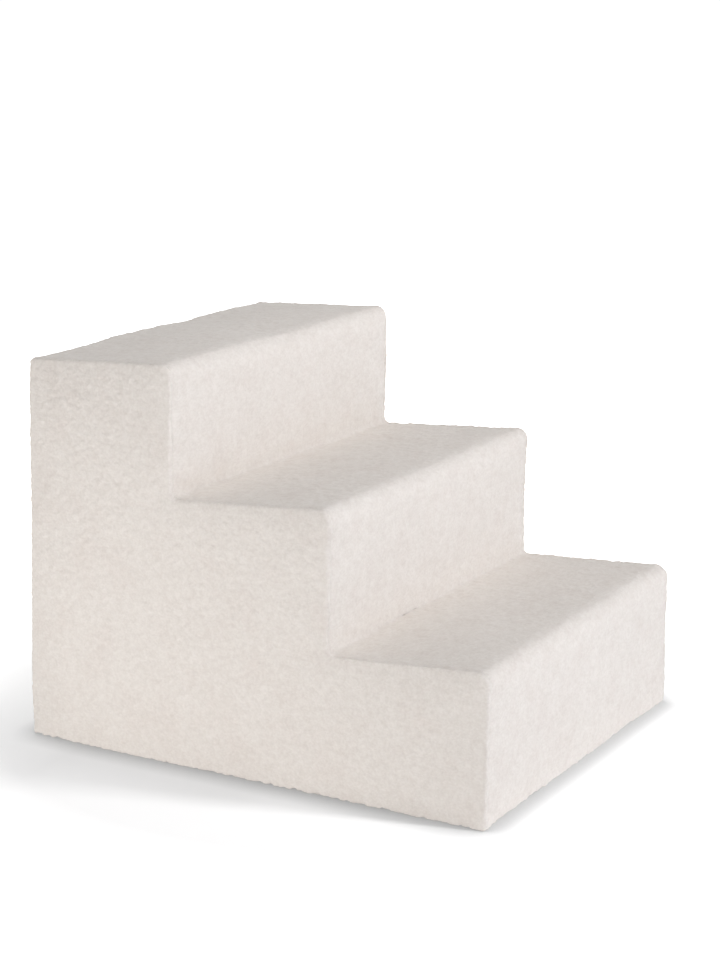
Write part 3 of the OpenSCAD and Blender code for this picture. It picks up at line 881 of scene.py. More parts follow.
@dataclass
class Panel:
    """A padded panel over a flat outline: folded at its edge and crowned inside it."""

    facing: Facing
    plane: float
    outline: Callable[[float], Array]
    thickness: float
    fold_r: float
    crown: float
    reach: float
    pitch: float
    crown_power: float = 2.4
    fold_steps: int = 7
    rim_room: float = 0.7

    def placed(self, flat: Array, height: Array | float) -> Array:
        """Places in space for (width, height) places on the panel at heights over its plane."""
        u, v, w, sign = self.facing.value
        points = np.zeros((len(flat), 3))
        points[:, u], points[:, v] = flat[:, 0], flat[:, 1]
        points[:, w] = self.plane + sign * height
        return points

    def rings(self) -> list[tuple[Array, float]]:
        """Outlines and heights of the fold.

        Formula: for an angle a from 0 to 90 degrees the inset is r (1 - cos a) and the height is
        t - r (1 - sin a), with r the fold's radius and t the thickness.
        """
        angles = np.radians(np.linspace(0, 90, self.fold_steps))
        levels = [(self.outline(self.fold_r * (1 - math.cos(a))),
                   self.thickness - self.fold_r * (1 - math.sin(a))) for a in angles]
        if self.fold_r < self.thickness:
            levels.insert(0, (self.outline(0.0), 0.0))
        return levels

    def lattice(self, rim: Array) -> tuple[Array, Array]:
        """Places of a triangle lattice within the rim, and their softened distance from it."""
        low, high = rim.min(axis=0), rim.max(axis=0)
        rows = np.arange(low[1], high[1], self.pitch * math.sqrt(3) / 2)
        columns = np.arange(low[0], high[0] + self.pitch, self.pitch)
        x, z = np.meshgrid(columns, rows)
        x = x + (np.arange(len(rows)) % 2)[:, None] * self.pitch / 2
        places = np.stack([x.ravel(), z.ravel()], axis=1)
        places = places[inside(places, rim)]
        least, soft = rim_distances(places, rim)
        keep = least > self.rim_room * self.pitch
        return places[keep], soft[keep]

    def shell(self) -> Shell:
        """The closed panel.

        Formula of the crown: crown (1 - (1 - q)^power), with q the softened distance from the fold
        over the reach, at most 1. A Delaunay triangulation joins the lattice to the fold; its
        triangles are turned round if they use an edge of the rim the way the fold's walls do.
        """
        levels = self.rings()
        rim = levels[-1][0]
        count = len(rim)
        places, soft = self.lattice(rim)
        q = np.clip(soft / self.reach, 0, 1)
        swell = self.crown * (1 - (1 - q) ** self.crown_power)
        flat = np.concatenate([rim, places])
        made = delaunay_2d_cdt(list(map(Vector, flat.tolist())), [], [list(range(count))], 1,
                               TOUCHING)
        if len(made[0]) != len(flat):
            raise ValueError("the panel's outline crosses itself")
        triangles = np.array(made[2]) + (len(levels) - 1) * count
        walls = grid_quads(len(levels), count)
        last = walls[-1].tolist()
        edges = set(zip(last, last[1:] + last[:1]))
        if any(edges & set(map(tuple, triangles[:, ends].tolist()))
               for ends in ([0, 1], [1, 2], [2, 0])):
            triangles = triangles[:, ::-1]
        points = np.concatenate([*(self.placed(flat, h) for flat, h in levels),
                                 self.placed(places, self.thickness + swell)])
        return Shell(points, [walls, triangles], [np.arange(count)[None, ::-1]]).outward()


@dataclass
class PlushCover(Assembly):
    """The zip-off cover: the stair strip, two sides, the back flap and its three margins."""

    pile: tuple[Wave, ...] = (Wave(1.6, 95.0, 11), Wave(0.5, 26.0, 12), Wave(0.22, 6.0, 13, NAP),
                              Wave(0.55, 2.8, 14, NAP))
    strip_pitch: float = 2.25
    edge_pitch: float = 0.8
    edge_margin: float = 4.0
    under_count: int = 9
    under_gap: float = 0.1
    rim_pitch: float = 2.1
    panel_pitch: float = 1.9
    back_pitch: float = 2.4
    back_room: float = 2.5
    turn_steps: int = 25
    bend_steps: int = 16
    flap_fold_r: float = 3.0
    margin_fold_r: float = 2.0
    seam_depth: float = 0.35
    seam_width: float = 1.6
    stitch_depth: float = 1.1
    stitch_width: float = 1.7
    overlap: float = 0.4
    nose_sag: float = 3.2
    sag_reach: float = 20.0
    tucked: float = 0.85
    tuck_reach: float = 9.0
    # Painted shade in the pile's colour, as share and width: all round each nook, and on the tread
    # next to its riser.
    nook_painted_shade: Pair = (0.07, 6.0)
    foot_painted_shade: Pair = (0.02, 20.0)
    fringe: float = 1.1
    fringe_reach: float = 12.0
    uneven: Wave = Wave(1.6, 4.2, 16)
    floor_clear: float = 0.3
    fuzz: Wave = Wave(1.5, 4.2, 15)
    fuzz_reach: float = 4.0
    allowance: float = 8.0
    back_allowance: float = 4.0
    least_fill: float = 0.31

    def relief(self, points: Array) -> Array:
        """How far the pile stands out: the sum of its waves, from the whole panel's to a tuft's."""
        return sum(wave.at(points) for wave in self.pile)

    def seamed_relief(self, points: Array) -> Array:
        """The relief, drawn in at the side seams by a bell, with tufts standing proud there."""
        distance = np.abs(points[:, 0]) - self.sizes.foam_x
        seam = self.seam_depth * bell(distance, self.seam_width)
        tufts = np.clip(self.fuzz.at(points), 0, self.fuzz.size) * bell(distance, self.fuzz_reach)
        return self.relief(points) - seam + tufts

    def ground(self, shell: Shell) -> None:
        """Hangs the pile of the lower edge to the floor, by an uneven fringe eased with height."""
        z = shell.points[:, 2]
        hang = self.fringe * (1 + self.uneven.at(shell.points)) * ease(z, self.fringe_reach)
        shell.points[:, 2] = np.maximum(z - hang, self.floor_clear)

    def panel(self, name: str, node: str, shell: Shell, flat: Pair, rests_on: list[str],
              allowance: float) -> Piece:
        """Makes a stretched sheet.

        Args:
            name: the piece's name.
            node: the CAD node that it replaces.
            shell: its surface.
            flat: width and length of the finished panel in millimetres.
            rests_on: not used.
            allowance: width of the cloth that is turned in at each seam.
        Returns:
            The piece.
        """
        self.ground(shell)
        cut = tuple((x + 2 * allowance) * MM for x in flat)
        area = shell.half_area() + allowance * MM * 2 * (flat[0] + flat[1]) * MM
        area = max(min(area, cut[0] * cut[1]), self.least_fill * cut[0] * cut[1])
        piece = self.add(name, shell, "plush", node)
        return piece

    def stair_strip(self) -> Piece:
        """One strip over all the risers and treads.

        Formula: the stepped line plus crown times its swell times 1 - |v|^3, with v from -1 to 1
        across the width, less a sag of the noses and a tuck of the nooks that grow from the side
        seams as sin(u)^2, closed by the same line drawn in by the cloth's thickness.
        """
        s = self.sizes
        chain = s.stair_chain(0.0, self.strip_pitch)
        chain.points.insert(0, np.array([[s.foam_y[0], s.floor_z]]))
        chain.swells.insert(0, np.zeros((1, 2)))
        line = chain.line()
        under = s.stair_chain(s.cover_t - self.under_gap, self.strip_pitch).line()
        under = np.concatenate([[[s.foam_y[0] + self.under_gap, s.base_top_z]], under])
        under[-1] = (s.foam_back_y + self.under_gap, s.top_seam_z)
        tuck = chain.tuck(self.tuck_reach) * self.tucked
        sag = chain.sag(self.sag_reach)[:, None] * self.nose_sag
        margin = np.arange(0, self.edge_margin, self.edge_pitch)
        half = s.foam_x + self.overlap
        inner = half - self.edge_margin
        middle = np.linspace(-inner, inner, int(2 * inner / self.strip_pitch) + 1)
        x_out = np.concatenate([margin - half, middle, half - margin[::-1]])
        x_in = np.linspace(s.foam_x, -s.foam_x, self.under_count)
        across = 1 - np.clip(np.abs(x_out / s.foam_x), 0, 1) ** 3
        rise = np.clip((s.foam_x - np.abs(x_out)) / s.crown_reach, 0, 1)
        grown = np.sin(rise * math.pi / 2) ** 2
        flat = line[:, None] + chain.swell()[:, None] * s.tread_crown * across[None, :, None]
        flat += (sag * grown[None])[..., None] * np.array([1.0, -1.0]) / math.sqrt(2)
        flat += tuck[:, None] * grown[None, :, None]
        flat = np.concatenate([flat, np.broadcast_to(under[:, None], (len(line), len(x_in), 2))],
                              axis=1)
        x = np.broadcast_to(np.concatenate([x_out, x_in])[None, :, None], (*flat.shape[:2], 1))
        rows, columns = flat.shape[:2]
        quads = grid_quads(rows, columns)
        seen = (quads % columns < len(x_out)).all(axis=1)
        shell = Shell(np.concatenate([x, flat], axis=2).reshape(-1, 3), [quads[seen]],
                      [quads[~seen], end_caps(rows, columns)]).outward()
        # Painted shade in the pile's colour: darker in the nooks and on each tread next to its
        # riser.
        shell.shade = np.repeat(chain.shade(self.nook_painted_shade, self.foot_painted_shade), columns)
        shown = np.tile(np.arange(columns) < len(x_out), rows)
        shell.raise_by(self.seamed_relief(shell.points) * shown)
        length = float(np.linalg.norm(np.diff(line, axis=0), axis=1).sum())
        return self.panel("cover_stair_strip", "stair_panel", shell, (2 * s.foam_x, length),
                          [f"foam_pad_{level}" for level in LEVELS], self.allowance)

    def side(self, side: Side) -> Piece:
        """A stepped side, turned in at every seam and crowned."""
        s = self.sizes
        facing = Facing.MINUS_X if side is Side.LEFT else Facing.PLUS_X
        shell = Panel(facing, side.value * s.foam_x, lambda d: s.side_outline(d, self.rim_pitch),
                      s.cover_t, s.seam_r, s.side_crown, s.crown_reach, self.panel_pitch).shell()
        shell.raise_by(self.seamed_relief(shell.points))
        name = side.name.lower()
        flat = tuple(np.ptp(s.side_outline(0.0, self.rim_pitch), axis=0))
        return self.panel(f"cover_side_{name}", f"side_panel_{name}", shell, flat,
                          ["foam_slab_block_lower", "foam_slab_block_middle"], self.allowance)

    def flap_outline(self) -> Array:
        """The flap's outline in X and Z: its top seam and the zip's inner edge."""
        z, pitch = self.zipper, self.back_pitch
        half, low = z.x - z.channel_half, z.low + z.channel_half
        top = self.sizes.top_seam_z
        r = z.bend_r - z.channel_half
        chain = Chain()
        legs = round((top - low - r) / pitch)
        chain.straight((half, low + r), (half, top), legs)
        chain.straight((half, top), (-half, top), round(2 * half / pitch))
        chain.straight((-half, top), (-half, low + r), legs)
        chain.bend((r - half, low + r), r, 180, 270, self.bend_steps)
        chain.straight((r - half, low), (half - r, low), round(2 * (half - r) / pitch))
        chain.bend((half - r, low + r), r, 270, 360, self.bend_steps)
        line = chain.line()
        corners = np.array([[half, top], [-half, top]])
        near = np.linalg.norm(line[:, None] - corners[None], axis=2).min(axis=1)
        return line[(near < TOUCHING) | (near > self.sizes.cover_t / 2)]

    def back_panel(self, name: str, node: str, outline: Array, flat: Pair, fold_r: float,
                   crown: float = 0.0) -> Piece:
        """A panel of the back, with a topstitched fold beside the zip and a turned lower edge.

        Args:
            name: the piece's name.
            node: the CAD node that it replaces.
            outline: its outline in X and Z, counterclockwise.
            flat: its finished width and height.
            fold_r: radius of its folded edge.
            crown: its bulge.
        Returns:
            The piece.
        """
        s, z = self.sizes, self.zipper
        shell = Panel(Facing.PLUS_Y, s.foam_back_y, lambda d: drawn_in(outline, d), s.cover_t,
                      fold_r, crown, s.crown_reach, self.back_pitch).shell()
        x, height = shell.points[:, 0], shell.points[:, 2]
        offset = np.abs(z.offset_from(x, height)) - z.channel_half - z.stitch_inset
        stitched = -self.stitch_depth * bell(offset, self.stitch_width) * (height < z.end_z)
        shell.raise_by(self.relief(shell.points) + stitched)
        up = np.clip((s.floor_z + s.seam_r - shell.points[:, 2]) / s.seam_r, 0, 1)
        turn = s.seam_r * (1 - np.sqrt(1 - up ** 2)) / s.cover_t
        shell.points[:, 1] -= (shell.points[:, 1] - s.foam_back_y) * turn
        return self.panel(name, node, shell, flat,
                          ["foam_slab_block_lower", "foam_slab_block_upper"], self.back_allowance)

    def margin(self, place: str, corners: Sequence[Pair], flat: Pair) -> Piece:
        """A margin of the back, outside the zip."""
        outline = corners_outline(corners, self.back_pitch, self.back_room)
        return self.back_panel(f"cover_back_margin_{place}", f"back_facing_{place}", outline, flat,
                               self.margin_fold_r)

    def back(self) -> list[Piece]:
        """The flap inside the zip and the three margins outside it."""
        s, z = self.sizes, self.zipper
        top, floor, split = s.top_seam_z, s.floor_z, z.low + z.bend_r
        outer, inner = z.x + z.channel_half, z.x - z.channel_half
        pieces = [self.back_panel("cover_back_flap", "back_flap", self.flap_outline(),
                                  (2 * inner, top - z.low), self.flap_fold_r, s.back_crown)]
        for side in Side:
            corners = [(outer, split), (s.foam_x, split), (s.foam_x, top), (inner, top),
                       (inner, z.end_z), (outer, z.end_z)]
            if side is Side.LEFT:
                corners = [(-x, y) for x, y in corners][::-1]
            pieces.append(self.margin(side.name.lower(), corners, (s.foam_x - inner, top - split)))
        r = z.bend_r + z.channel_half
        right = [(outer - r + r * math.cos(a), split - r + r + r * math.sin(a))
                 for a in np.radians(np.linspace(0, -90, self.turn_steps))]
        left = [(-x, y) for x, y in right][::-1]
        corners = [(-s.foam_x, floor), (s.foam_x, floor), (s.foam_x, split), *right, *left,
                   (-s.foam_x, split)]
        pieces.append(self.margin("bottom", corners, (2 * s.foam_x, split - floor)))
        return pieces

    def build(self) -> list[Piece]:
        """Makes every panel of the cover."""
        return [self.stair_strip(), self.side(Side.LEFT), self.side(Side.RIGHT), *self.back()]


# ---- Foam ----


@dataclass
class FoamCore(Assembly):
    """Three slabs of firm foam and a softer pad on each tread."""

    edge_r: float = 1.5
    edge_steps: int = 4
    nose_steps: int = 10
    pitch: float = 7.0
    groove_d: float = 2.3
    groove_slope: float = 4.0
    back_depth: float = 1.0
    air: float = 0.15

    def block(self, name: str, node: str, slot: str, corners: Sequence[Pair]) -> Piece:
        """A bar of foam across the width, with rounded end edges and a groove behind the zip.

        Formula: the outline is carried along X, and at each end drawn in by r (1 - cos a) over
        the last r (1 - sin a) of the width, a from 0 to 90 degrees.

        Args:
            name: the piece's name.
            node: the CAD node that it replaces.
            slot: its finish.
            corners: its outline in Y and Z, counterclockwise.
        Returns:
            The piece.
        """
        s, z = self.sizes, self.zipper
        outline = corners_outline(corners, self.pitch, self.edge_r)
        end = [(s.foam_x - self.air - self.edge_r * (1 - math.sin(a)),
                self.edge_r * (1 - math.cos(a)))
               for a in np.radians(np.linspace(0, 90, self.edge_steps))]
        middle = np.linspace(-end[0][0], end[0][0], int(2 * s.foam_x / self.pitch))
        stations = [(-x, d) for x, d in end[::-1]] + [(x, 0.0) for x in middle[1:-1]] + end
        shell = tube(np.stack([np.insert(drawn_in(outline, self.air + d), 0, x, axis=1)
                               for x, d in stations]))
        points = shell.points
        offset = np.abs(z.offset_from(points[:, 0], points[:, 2]))
        near = np.clip((z.tape_w + self.groove_slope - offset) / self.groove_slope, 0, 1)
        near *= points[:, 2] < z.end_z + z.tape_tail + self.groove_slope
        points[:, 1] -= self.groove_d * near * (points[:, 1] > s.foam_back_y - self.back_depth)
        piece = self.add(name, shell, slot, node)
        return piece

    def pad_corners(self, i: int) -> list[Pair]:
        """A tread pad in Y and Z: its rounded nose, dipping top and back end."""
        s = self.sizes
        r = s.nose_r - s.cover_t
        y, z, low = s.foam_y[i], s.foam_z[i], s.slab_top_z[i]
        end_y = (*s.foam_y, s.foam_back_y)[i + 1]
        nose = [(y + r - r * math.cos(a), z - r + r * math.sin(a))
                for a in np.radians(np.linspace(90, 0, self.nose_steps))]
        return [(y, low), (end_y, low), (end_y, z - s.falls[i]), *nose]

    def build(self) -> list[Piece]:
        """Makes the six blocks, from the floor up."""
        s = self.sizes
        lows = (s.base_top_z, *s.slab_top_z[:2])
        slabs = [self.block(f"foam_slab_block_{level}", f"foam_slab_{level}", "core_foam",
                            [(y, low), (s.foam_back_y, low), (s.foam_back_y, top), (y, top)])
                 for level, y, low, top in zip(LEVELS, s.foam_y, lows, s.slab_top_z)]
        return slabs + [self.block(f"foam_pad_{level}", f"tread_pad_{level}", "pad_foam",
                                   self.pad_corners(i)) for i, level in enumerate(LEVELS)]


# ---- Base ----


@dataclass
class NonSlipBase(Assembly):
    """The woven base cloth and its grid of silicone dots."""

    dot_pitch: float = 48.0
    dot_margin: float = 24.0
    dot_r: float = 4.5
    dot_sides: int = 12
    dot_root: float = 0.3
    dot_shares: tuple[float, ...] = (1.0, 1.0, 0.93, 0.78, 0.45)
    dot_heights: Triple = (0.66, 0.92, 0.99)
    pitch: float = 5.0
    room: float = 1.5
    fold_r: float = 0.8
    reach: float = 20.0
    dip: float = 0.12
    uneven: Wave = Wave(1.0, 40.0, 31)
    turned_in: float = 0.02

    def cloth(self) -> Piece:
        """The base cloth: a flat sheet with rounded edges and a slight unevenness."""
        s = self.sizes
        low_y, high_y = s.foam_y[0], s.foam_back_y
        corners = [(-s.foam_x, low_y), (s.foam_x, low_y), (s.foam_x, high_y), (-s.foam_x, high_y)]
        outline = corners_outline(corners, self.pitch, self.room)
        shell = Panel(Facing.MINUS_Z, s.base_top_z, lambda d: drawn_in(outline, d),
                      s.base_top_z - s.floor_z, self.fold_r, 0.0, self.reach, self.pitch).shell()
        under = shell.points[:, 2] < s.base_top_z
        shell.raise_by(-self.dip * under * (1 + self.uneven.at(shell.points)))
        piece = self.add("base_cloth", shell, "base_cloth", "base_panel")
        return piece

    def dots(self) -> Piece:
        """Silicone dots, each a low dome down to the floor.

        Formula: rings at shares of the dot's radius hang at shares of its height, and a point on
        the floor closes them.
        """
        s, n = self.sizes, self.dot_sides
        spans = (2 * s.foam_x, s.foam_back_y - s.foam_y[0])
        counts = [math.floor((span - 2 * self.dot_margin) / self.dot_pitch) for span in spans]
        x, y = ((np.arange(count + 1) - count / 2) * self.dot_pitch for count in counts)
        y = (s.foam_back_y + s.foam_y[0]) / 2 + y
        heights = [self.dot_root, 0.0, *(-s.floor_z * np.array(self.dot_heights))]
        angles = np.linspace(0, 2 * math.pi, n, endpoint=False)
        ring = np.stack([np.cos(angles), np.sin(angles)], axis=1) * self.dot_r
        rings = [np.insert(ring * t, 2, s.floor_z + h, axis=1)
                 for t, h in zip(self.dot_shares, heights)]
        one = np.concatenate([*rings, np.zeros((1, 3))])
        tip, lid = len(one) - 1, np.arange(n)
        fan = np.stack([np.full(n, tip), tip - n + lid, tip - n + (lid + 1) % n], axis=1)
        polygons = [grid_quads(len(rings), n), fan[:, ::-1]]
        shells = [Shell(one + [cx, cy, 0.0], polygons, [lid[None, ::-1]])
                  for cx, cy in np.stack(np.meshgrid(x, y), axis=-1).reshape(-1, 2)]
        return self.add("base_grip_dots", joined(shells).outward(), "silicone", "grip_dots")

    def build(self) -> list[Piece]:
        """Makes the cloth and its dots."""
        return [self.cloth(), self.dots()]


# ---- Zip ----


@dataclass
class Zip(Assembly):
    """The zip on the back: tape, coil, stops, stitching, slider and pull."""

    tape_pitch: float = 3.0
    tape_columns: int = 9
    tape_gap: float = 0.1
    tape_clear: Pair = (0.02, 0.03)
    tape_bow: float = 0.1
    coil_pitch: float = 1.5
    coil_steps: int = 8
    coil_sides: int = 5
    wire_r: float = 0.36
    head_gap: float = 0.45
    stitch_l: float = 3.0
    stitch_gap: float = 0.9
    stitch_r: float = 0.38
    stitch_sides: int = 6
    stitch_places: tuple[float, ...] = (-1.0, -0.9, -0.5, 0.0, 0.5, 0.9, 1.0)
    stitch_least: float = 0.12
    stitch_start: float = 2.0
    stitch_end: float = 3.0
    stitch_dips: Pair = (0.55, 0.35)
    tack_turns: int = 22
    tack_steps: int = 10
    tack_sides: int = 5
    tack_r: float = 0.3
    tack_end: float = 0.4
    stop_bevel: float = 0.25
    slider_bevel: float = 0.18
    weld_distance: float = 0.00001
    sharp_angle: float = 35.0

    def on_route(self, s: Array, offset: Array | float, y: Array | float, top: float) -> Array:
        """Places at distances along the route, at offsets across it and at depths Y."""
        place, _, normal = self.zipper.along(s, top)
        return upright(place + normal * np.broadcast_to(offset, s.shape)[:, None], y)

    def tape(self, row: Row) -> Piece:
        """Half of the tape: a thin woven band, a little thinner towards its outer edge.

        Formula: an oblong section carried along the route, with UV in metres along and across it.
        """
        z, back_y = self.zipper, self.sizes.foam_back_y
        top = z.end_z + z.tape_tail
        stations = np.linspace(0, z.length(top), int(z.length(top) / self.tape_pitch))
        shares = np.linspace(0, 1, self.tape_columns)
        across = z.slot_half + self.tape_gap + (z.tape_w - z.slot_half - self.tape_gap) * shares
        front = back_y - self.tape_clear[0] - self.tape_bow * shares ** 2
        back = np.full(len(shares), back_y - z.tape_t + self.tape_clear[1])
        section = np.concatenate([across, across[::-1]]) * row.value
        grid = np.stack([self.on_route(stations, offset, y, top)
                         for offset, y in zip(section, np.concatenate([front, back]))], axis=1)
        uv = np.stack(np.broadcast_arrays(stations[:, None] * MM, section[None] * MM), axis=-1)
        shell = tube(grid, uv.reshape(-1, 2))
        name = row.name.lower()
        piece = self.add(f"zip_tape_half_{name}", shell, "zip_tape", f"zip_tape_{name}")
        width = (z.tape_w - z.slot_half) * MM
        shell.half_area() / width
        return piece

    def coil(self, row: Row) -> Piece:
        """One row of the coil: a flattened helix of round wire, one turn a pitch.

        Formula: the wire's middle runs at offset o = m - a cos t and depth y = n + b sin t while
        it moves along the route by a pitch a turn.
        """
        z = self.zipper
        top = z.coil_end_z
        turns = int(z.length(top) / self.coil_pitch) - 1
        t = np.arange(turns * self.coil_steps + 1) * 2 * math.pi / self.coil_steps
        shift = 0.5 if row is Row.FLAP else 1.0
        along = (t / (2 * math.pi) + shift) * self.coil_pitch
        low, high = self.head_gap + self.wire_r, z.coil_half - self.wire_r
        offset = ((low + high) / 2 - (high - low) / 2 * np.cos(t)) * row.value
        rise = z.coil_t / 2 - self.wire_r
        depth = self.sizes.foam_back_y + z.coil_t / 2 + rise * np.sin(t)
        centre = self.on_route(along, offset, depth, top)
        way = unit(np.gradient(centre, axis=0))
        run = upright(z.along(along, top)[1])
        first = unit(run - way * (run * way).sum(axis=1, keepdims=True))
        grid = wire(centre, first, np.cross(way, first), self.wire_r, self.coil_sides)
        name = row.name.lower()
        return self.add(f"zip_coil_row_{name}", tube(grid), "zip_coil", f"zip_coil_{name}")

    def stitches(self, row: Row) -> Piece:
        """The topstitching along a folded edge.

        Formula: each stitch is a spindle whose radius is r (1 - c^4), and its middle dips into the
        pile as c^2 does, with c from -1 to 1 along it.
        """
        z = self.zipper
        top = z.end_z - self.stitch_end
        pitch = self.stitch_l + self.stitch_gap
        starts = np.arange(self.stitch_start, z.length(top) - pitch, pitch)
        c = np.array(self.stitch_places)
        radius = self.stitch_r * np.maximum(1 - c ** 4, self.stitch_least)
        along = (starts[:, None] + (c[None] + 1) / 2 * self.stitch_l).ravel()
        dip, more = self.stitch_dips
        depth = self.sizes.back_y - dip - more * np.tile(c ** 2, len(starts))
        centre = self.on_route(along, (z.channel_half + z.stitch_inset) * row.value, depth, top)
        grid = wire(centre, upright(z.along(along, top)[2]), np.array([[0.0, 1.0, 0.0]]),
                    np.tile(radius, len(starts)), self.stitch_sides)
        shell = joined([tube(part) for part in np.split(grid, len(starts))])
        return self.add(f"zip_topstitch_{row.name.lower()}", shell, "thread")

    def bar_tacks(self) -> Piece:
        """The bars of thread across both ends of the channel: close turns round a bar."""
        (_, y_low, z_low), (_, y_high, z_high) = node_box("zip_bar_tacks")
        half = self.zipper.channel_half
        steps = self.tack_steps
        t = np.arange(self.tack_turns * steps + 1) * 2 * math.pi / steps
        y = (y_low + y_high) / 2 + (y_high - y_low - 2 * self.tack_r) / 2 * np.sin(t)
        z = (z_low + z_high) / 2 + ((z_high - z_low) / 2 - self.tack_r) * np.cos(t)
        shells = []
        for side in Side:
            x = np.linspace(-half + self.tack_end, half - self.tack_end, len(t))
            centre = np.stack([side.value * self.zipper.x + x, y, z], axis=1)
            way = unit(np.gradient(centre, axis=0))
            first = unit(np.cross(way, [1.0, 0.0, 0.0]))
            grid = wire(centre, first, np.cross(way, first), self.tack_r, self.tack_sides)
            shells.append(tube(grid))
        return self.add("zip_bar_tack_threads", joined(shells), "thread", "zip_bar_tacks")

    def eased(self, node: str, name: str, body: str, width: float) -> Piece:
        """A copy of a metal node whose sharp edges are eased by a bevel.

        Args:
            node: the CAD node.
            name: the new piece's name.
            body: the body that it rides on.
            width: the bevel's width in millimetres.
        Returns:
            The piece.
        """
        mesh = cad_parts[node].data.copy()
        mesh.name = name
        mesh.materials.clear()
        mesh.materials.append(self.materials["zip_metal"])
        piece = bpy.data.objects.new(name, mesh)
        bpy.context.scene.collection.objects.link(piece)
        weld = piece.modifiers.new("weld", "WELD")
        weld.merge_threshold = self.weld_distance
        bevel = piece.modifiers.new("eased_edges", "BEVEL")
        bevel.width = width * MM
        bevel.segments = 2
        bevel.limit_method = "ANGLE"
        bevel.angle_limit = math.radians(self.sharp_angle)
        bevel.harden_normals = True
        mesh.shade_smooth()
        self.settle(piece, body, "zip_metal", node)
        return piece

    def build(self) -> list[Piece]:
        """Makes the zip, from the tape out to the pull."""
        rows = [make(row) for row in Row for make in (self.tape, self.coil, self.stitches)]
        return [*rows, self.bar_tacks(),
                self.eased("zip_top_stops", "zip_stops_upper", "root", self.stop_bevel),
                self.eased("zip_end_stop", "zip_stop_lower", "root", self.stop_bevel),
                self.eased("zip_slider", "zip_slider_body", "zip_slider", self.slider_bevel),
                self.eased("zip_pull", "zip_pull_tab", "zip_pull", self.slider_bevel)]


# ---- Studio ----


@dataclass(frozen=True)
class Softbox:
    """An area light aimed at a point, hidden from the camera; flat is its height over its width."""

    name: str
    place: Triple
    aim: Triple
    size: float
    power: float
    colour: Triple
    flat: float = 1.0
    floor_alone: bool = False

    def add(self, floor: Piece) -> None:
        """Puts the light into the scene, shining on everything or on the floor alone."""
        data = bpy.data.lights.new(self.name, "AREA")
        data.shape = "RECTANGLE"
        data.size = self.size
        data.size_y = self.size * self.flat
        data.energy = self.power
        data.color = self.colour
        lamp = bpy.data.objects.new(self.name, data)
        lamp.location = self.place
        lamp.visible_camera = False
        way = Vector(self.aim) - Vector(self.place)
        lamp.rotation_euler = way.to_track_quat("-Z", "Y").to_euler()
        if self.floor_alone:
            lit = bpy.data.collections.new(self.name)
            lit.objects.link(floor)
            lamp.light_linking.receiver_collection = lit
            data.cycles.max_bounces = 0
        bpy.context.scene.collection.objects.link(lamp)


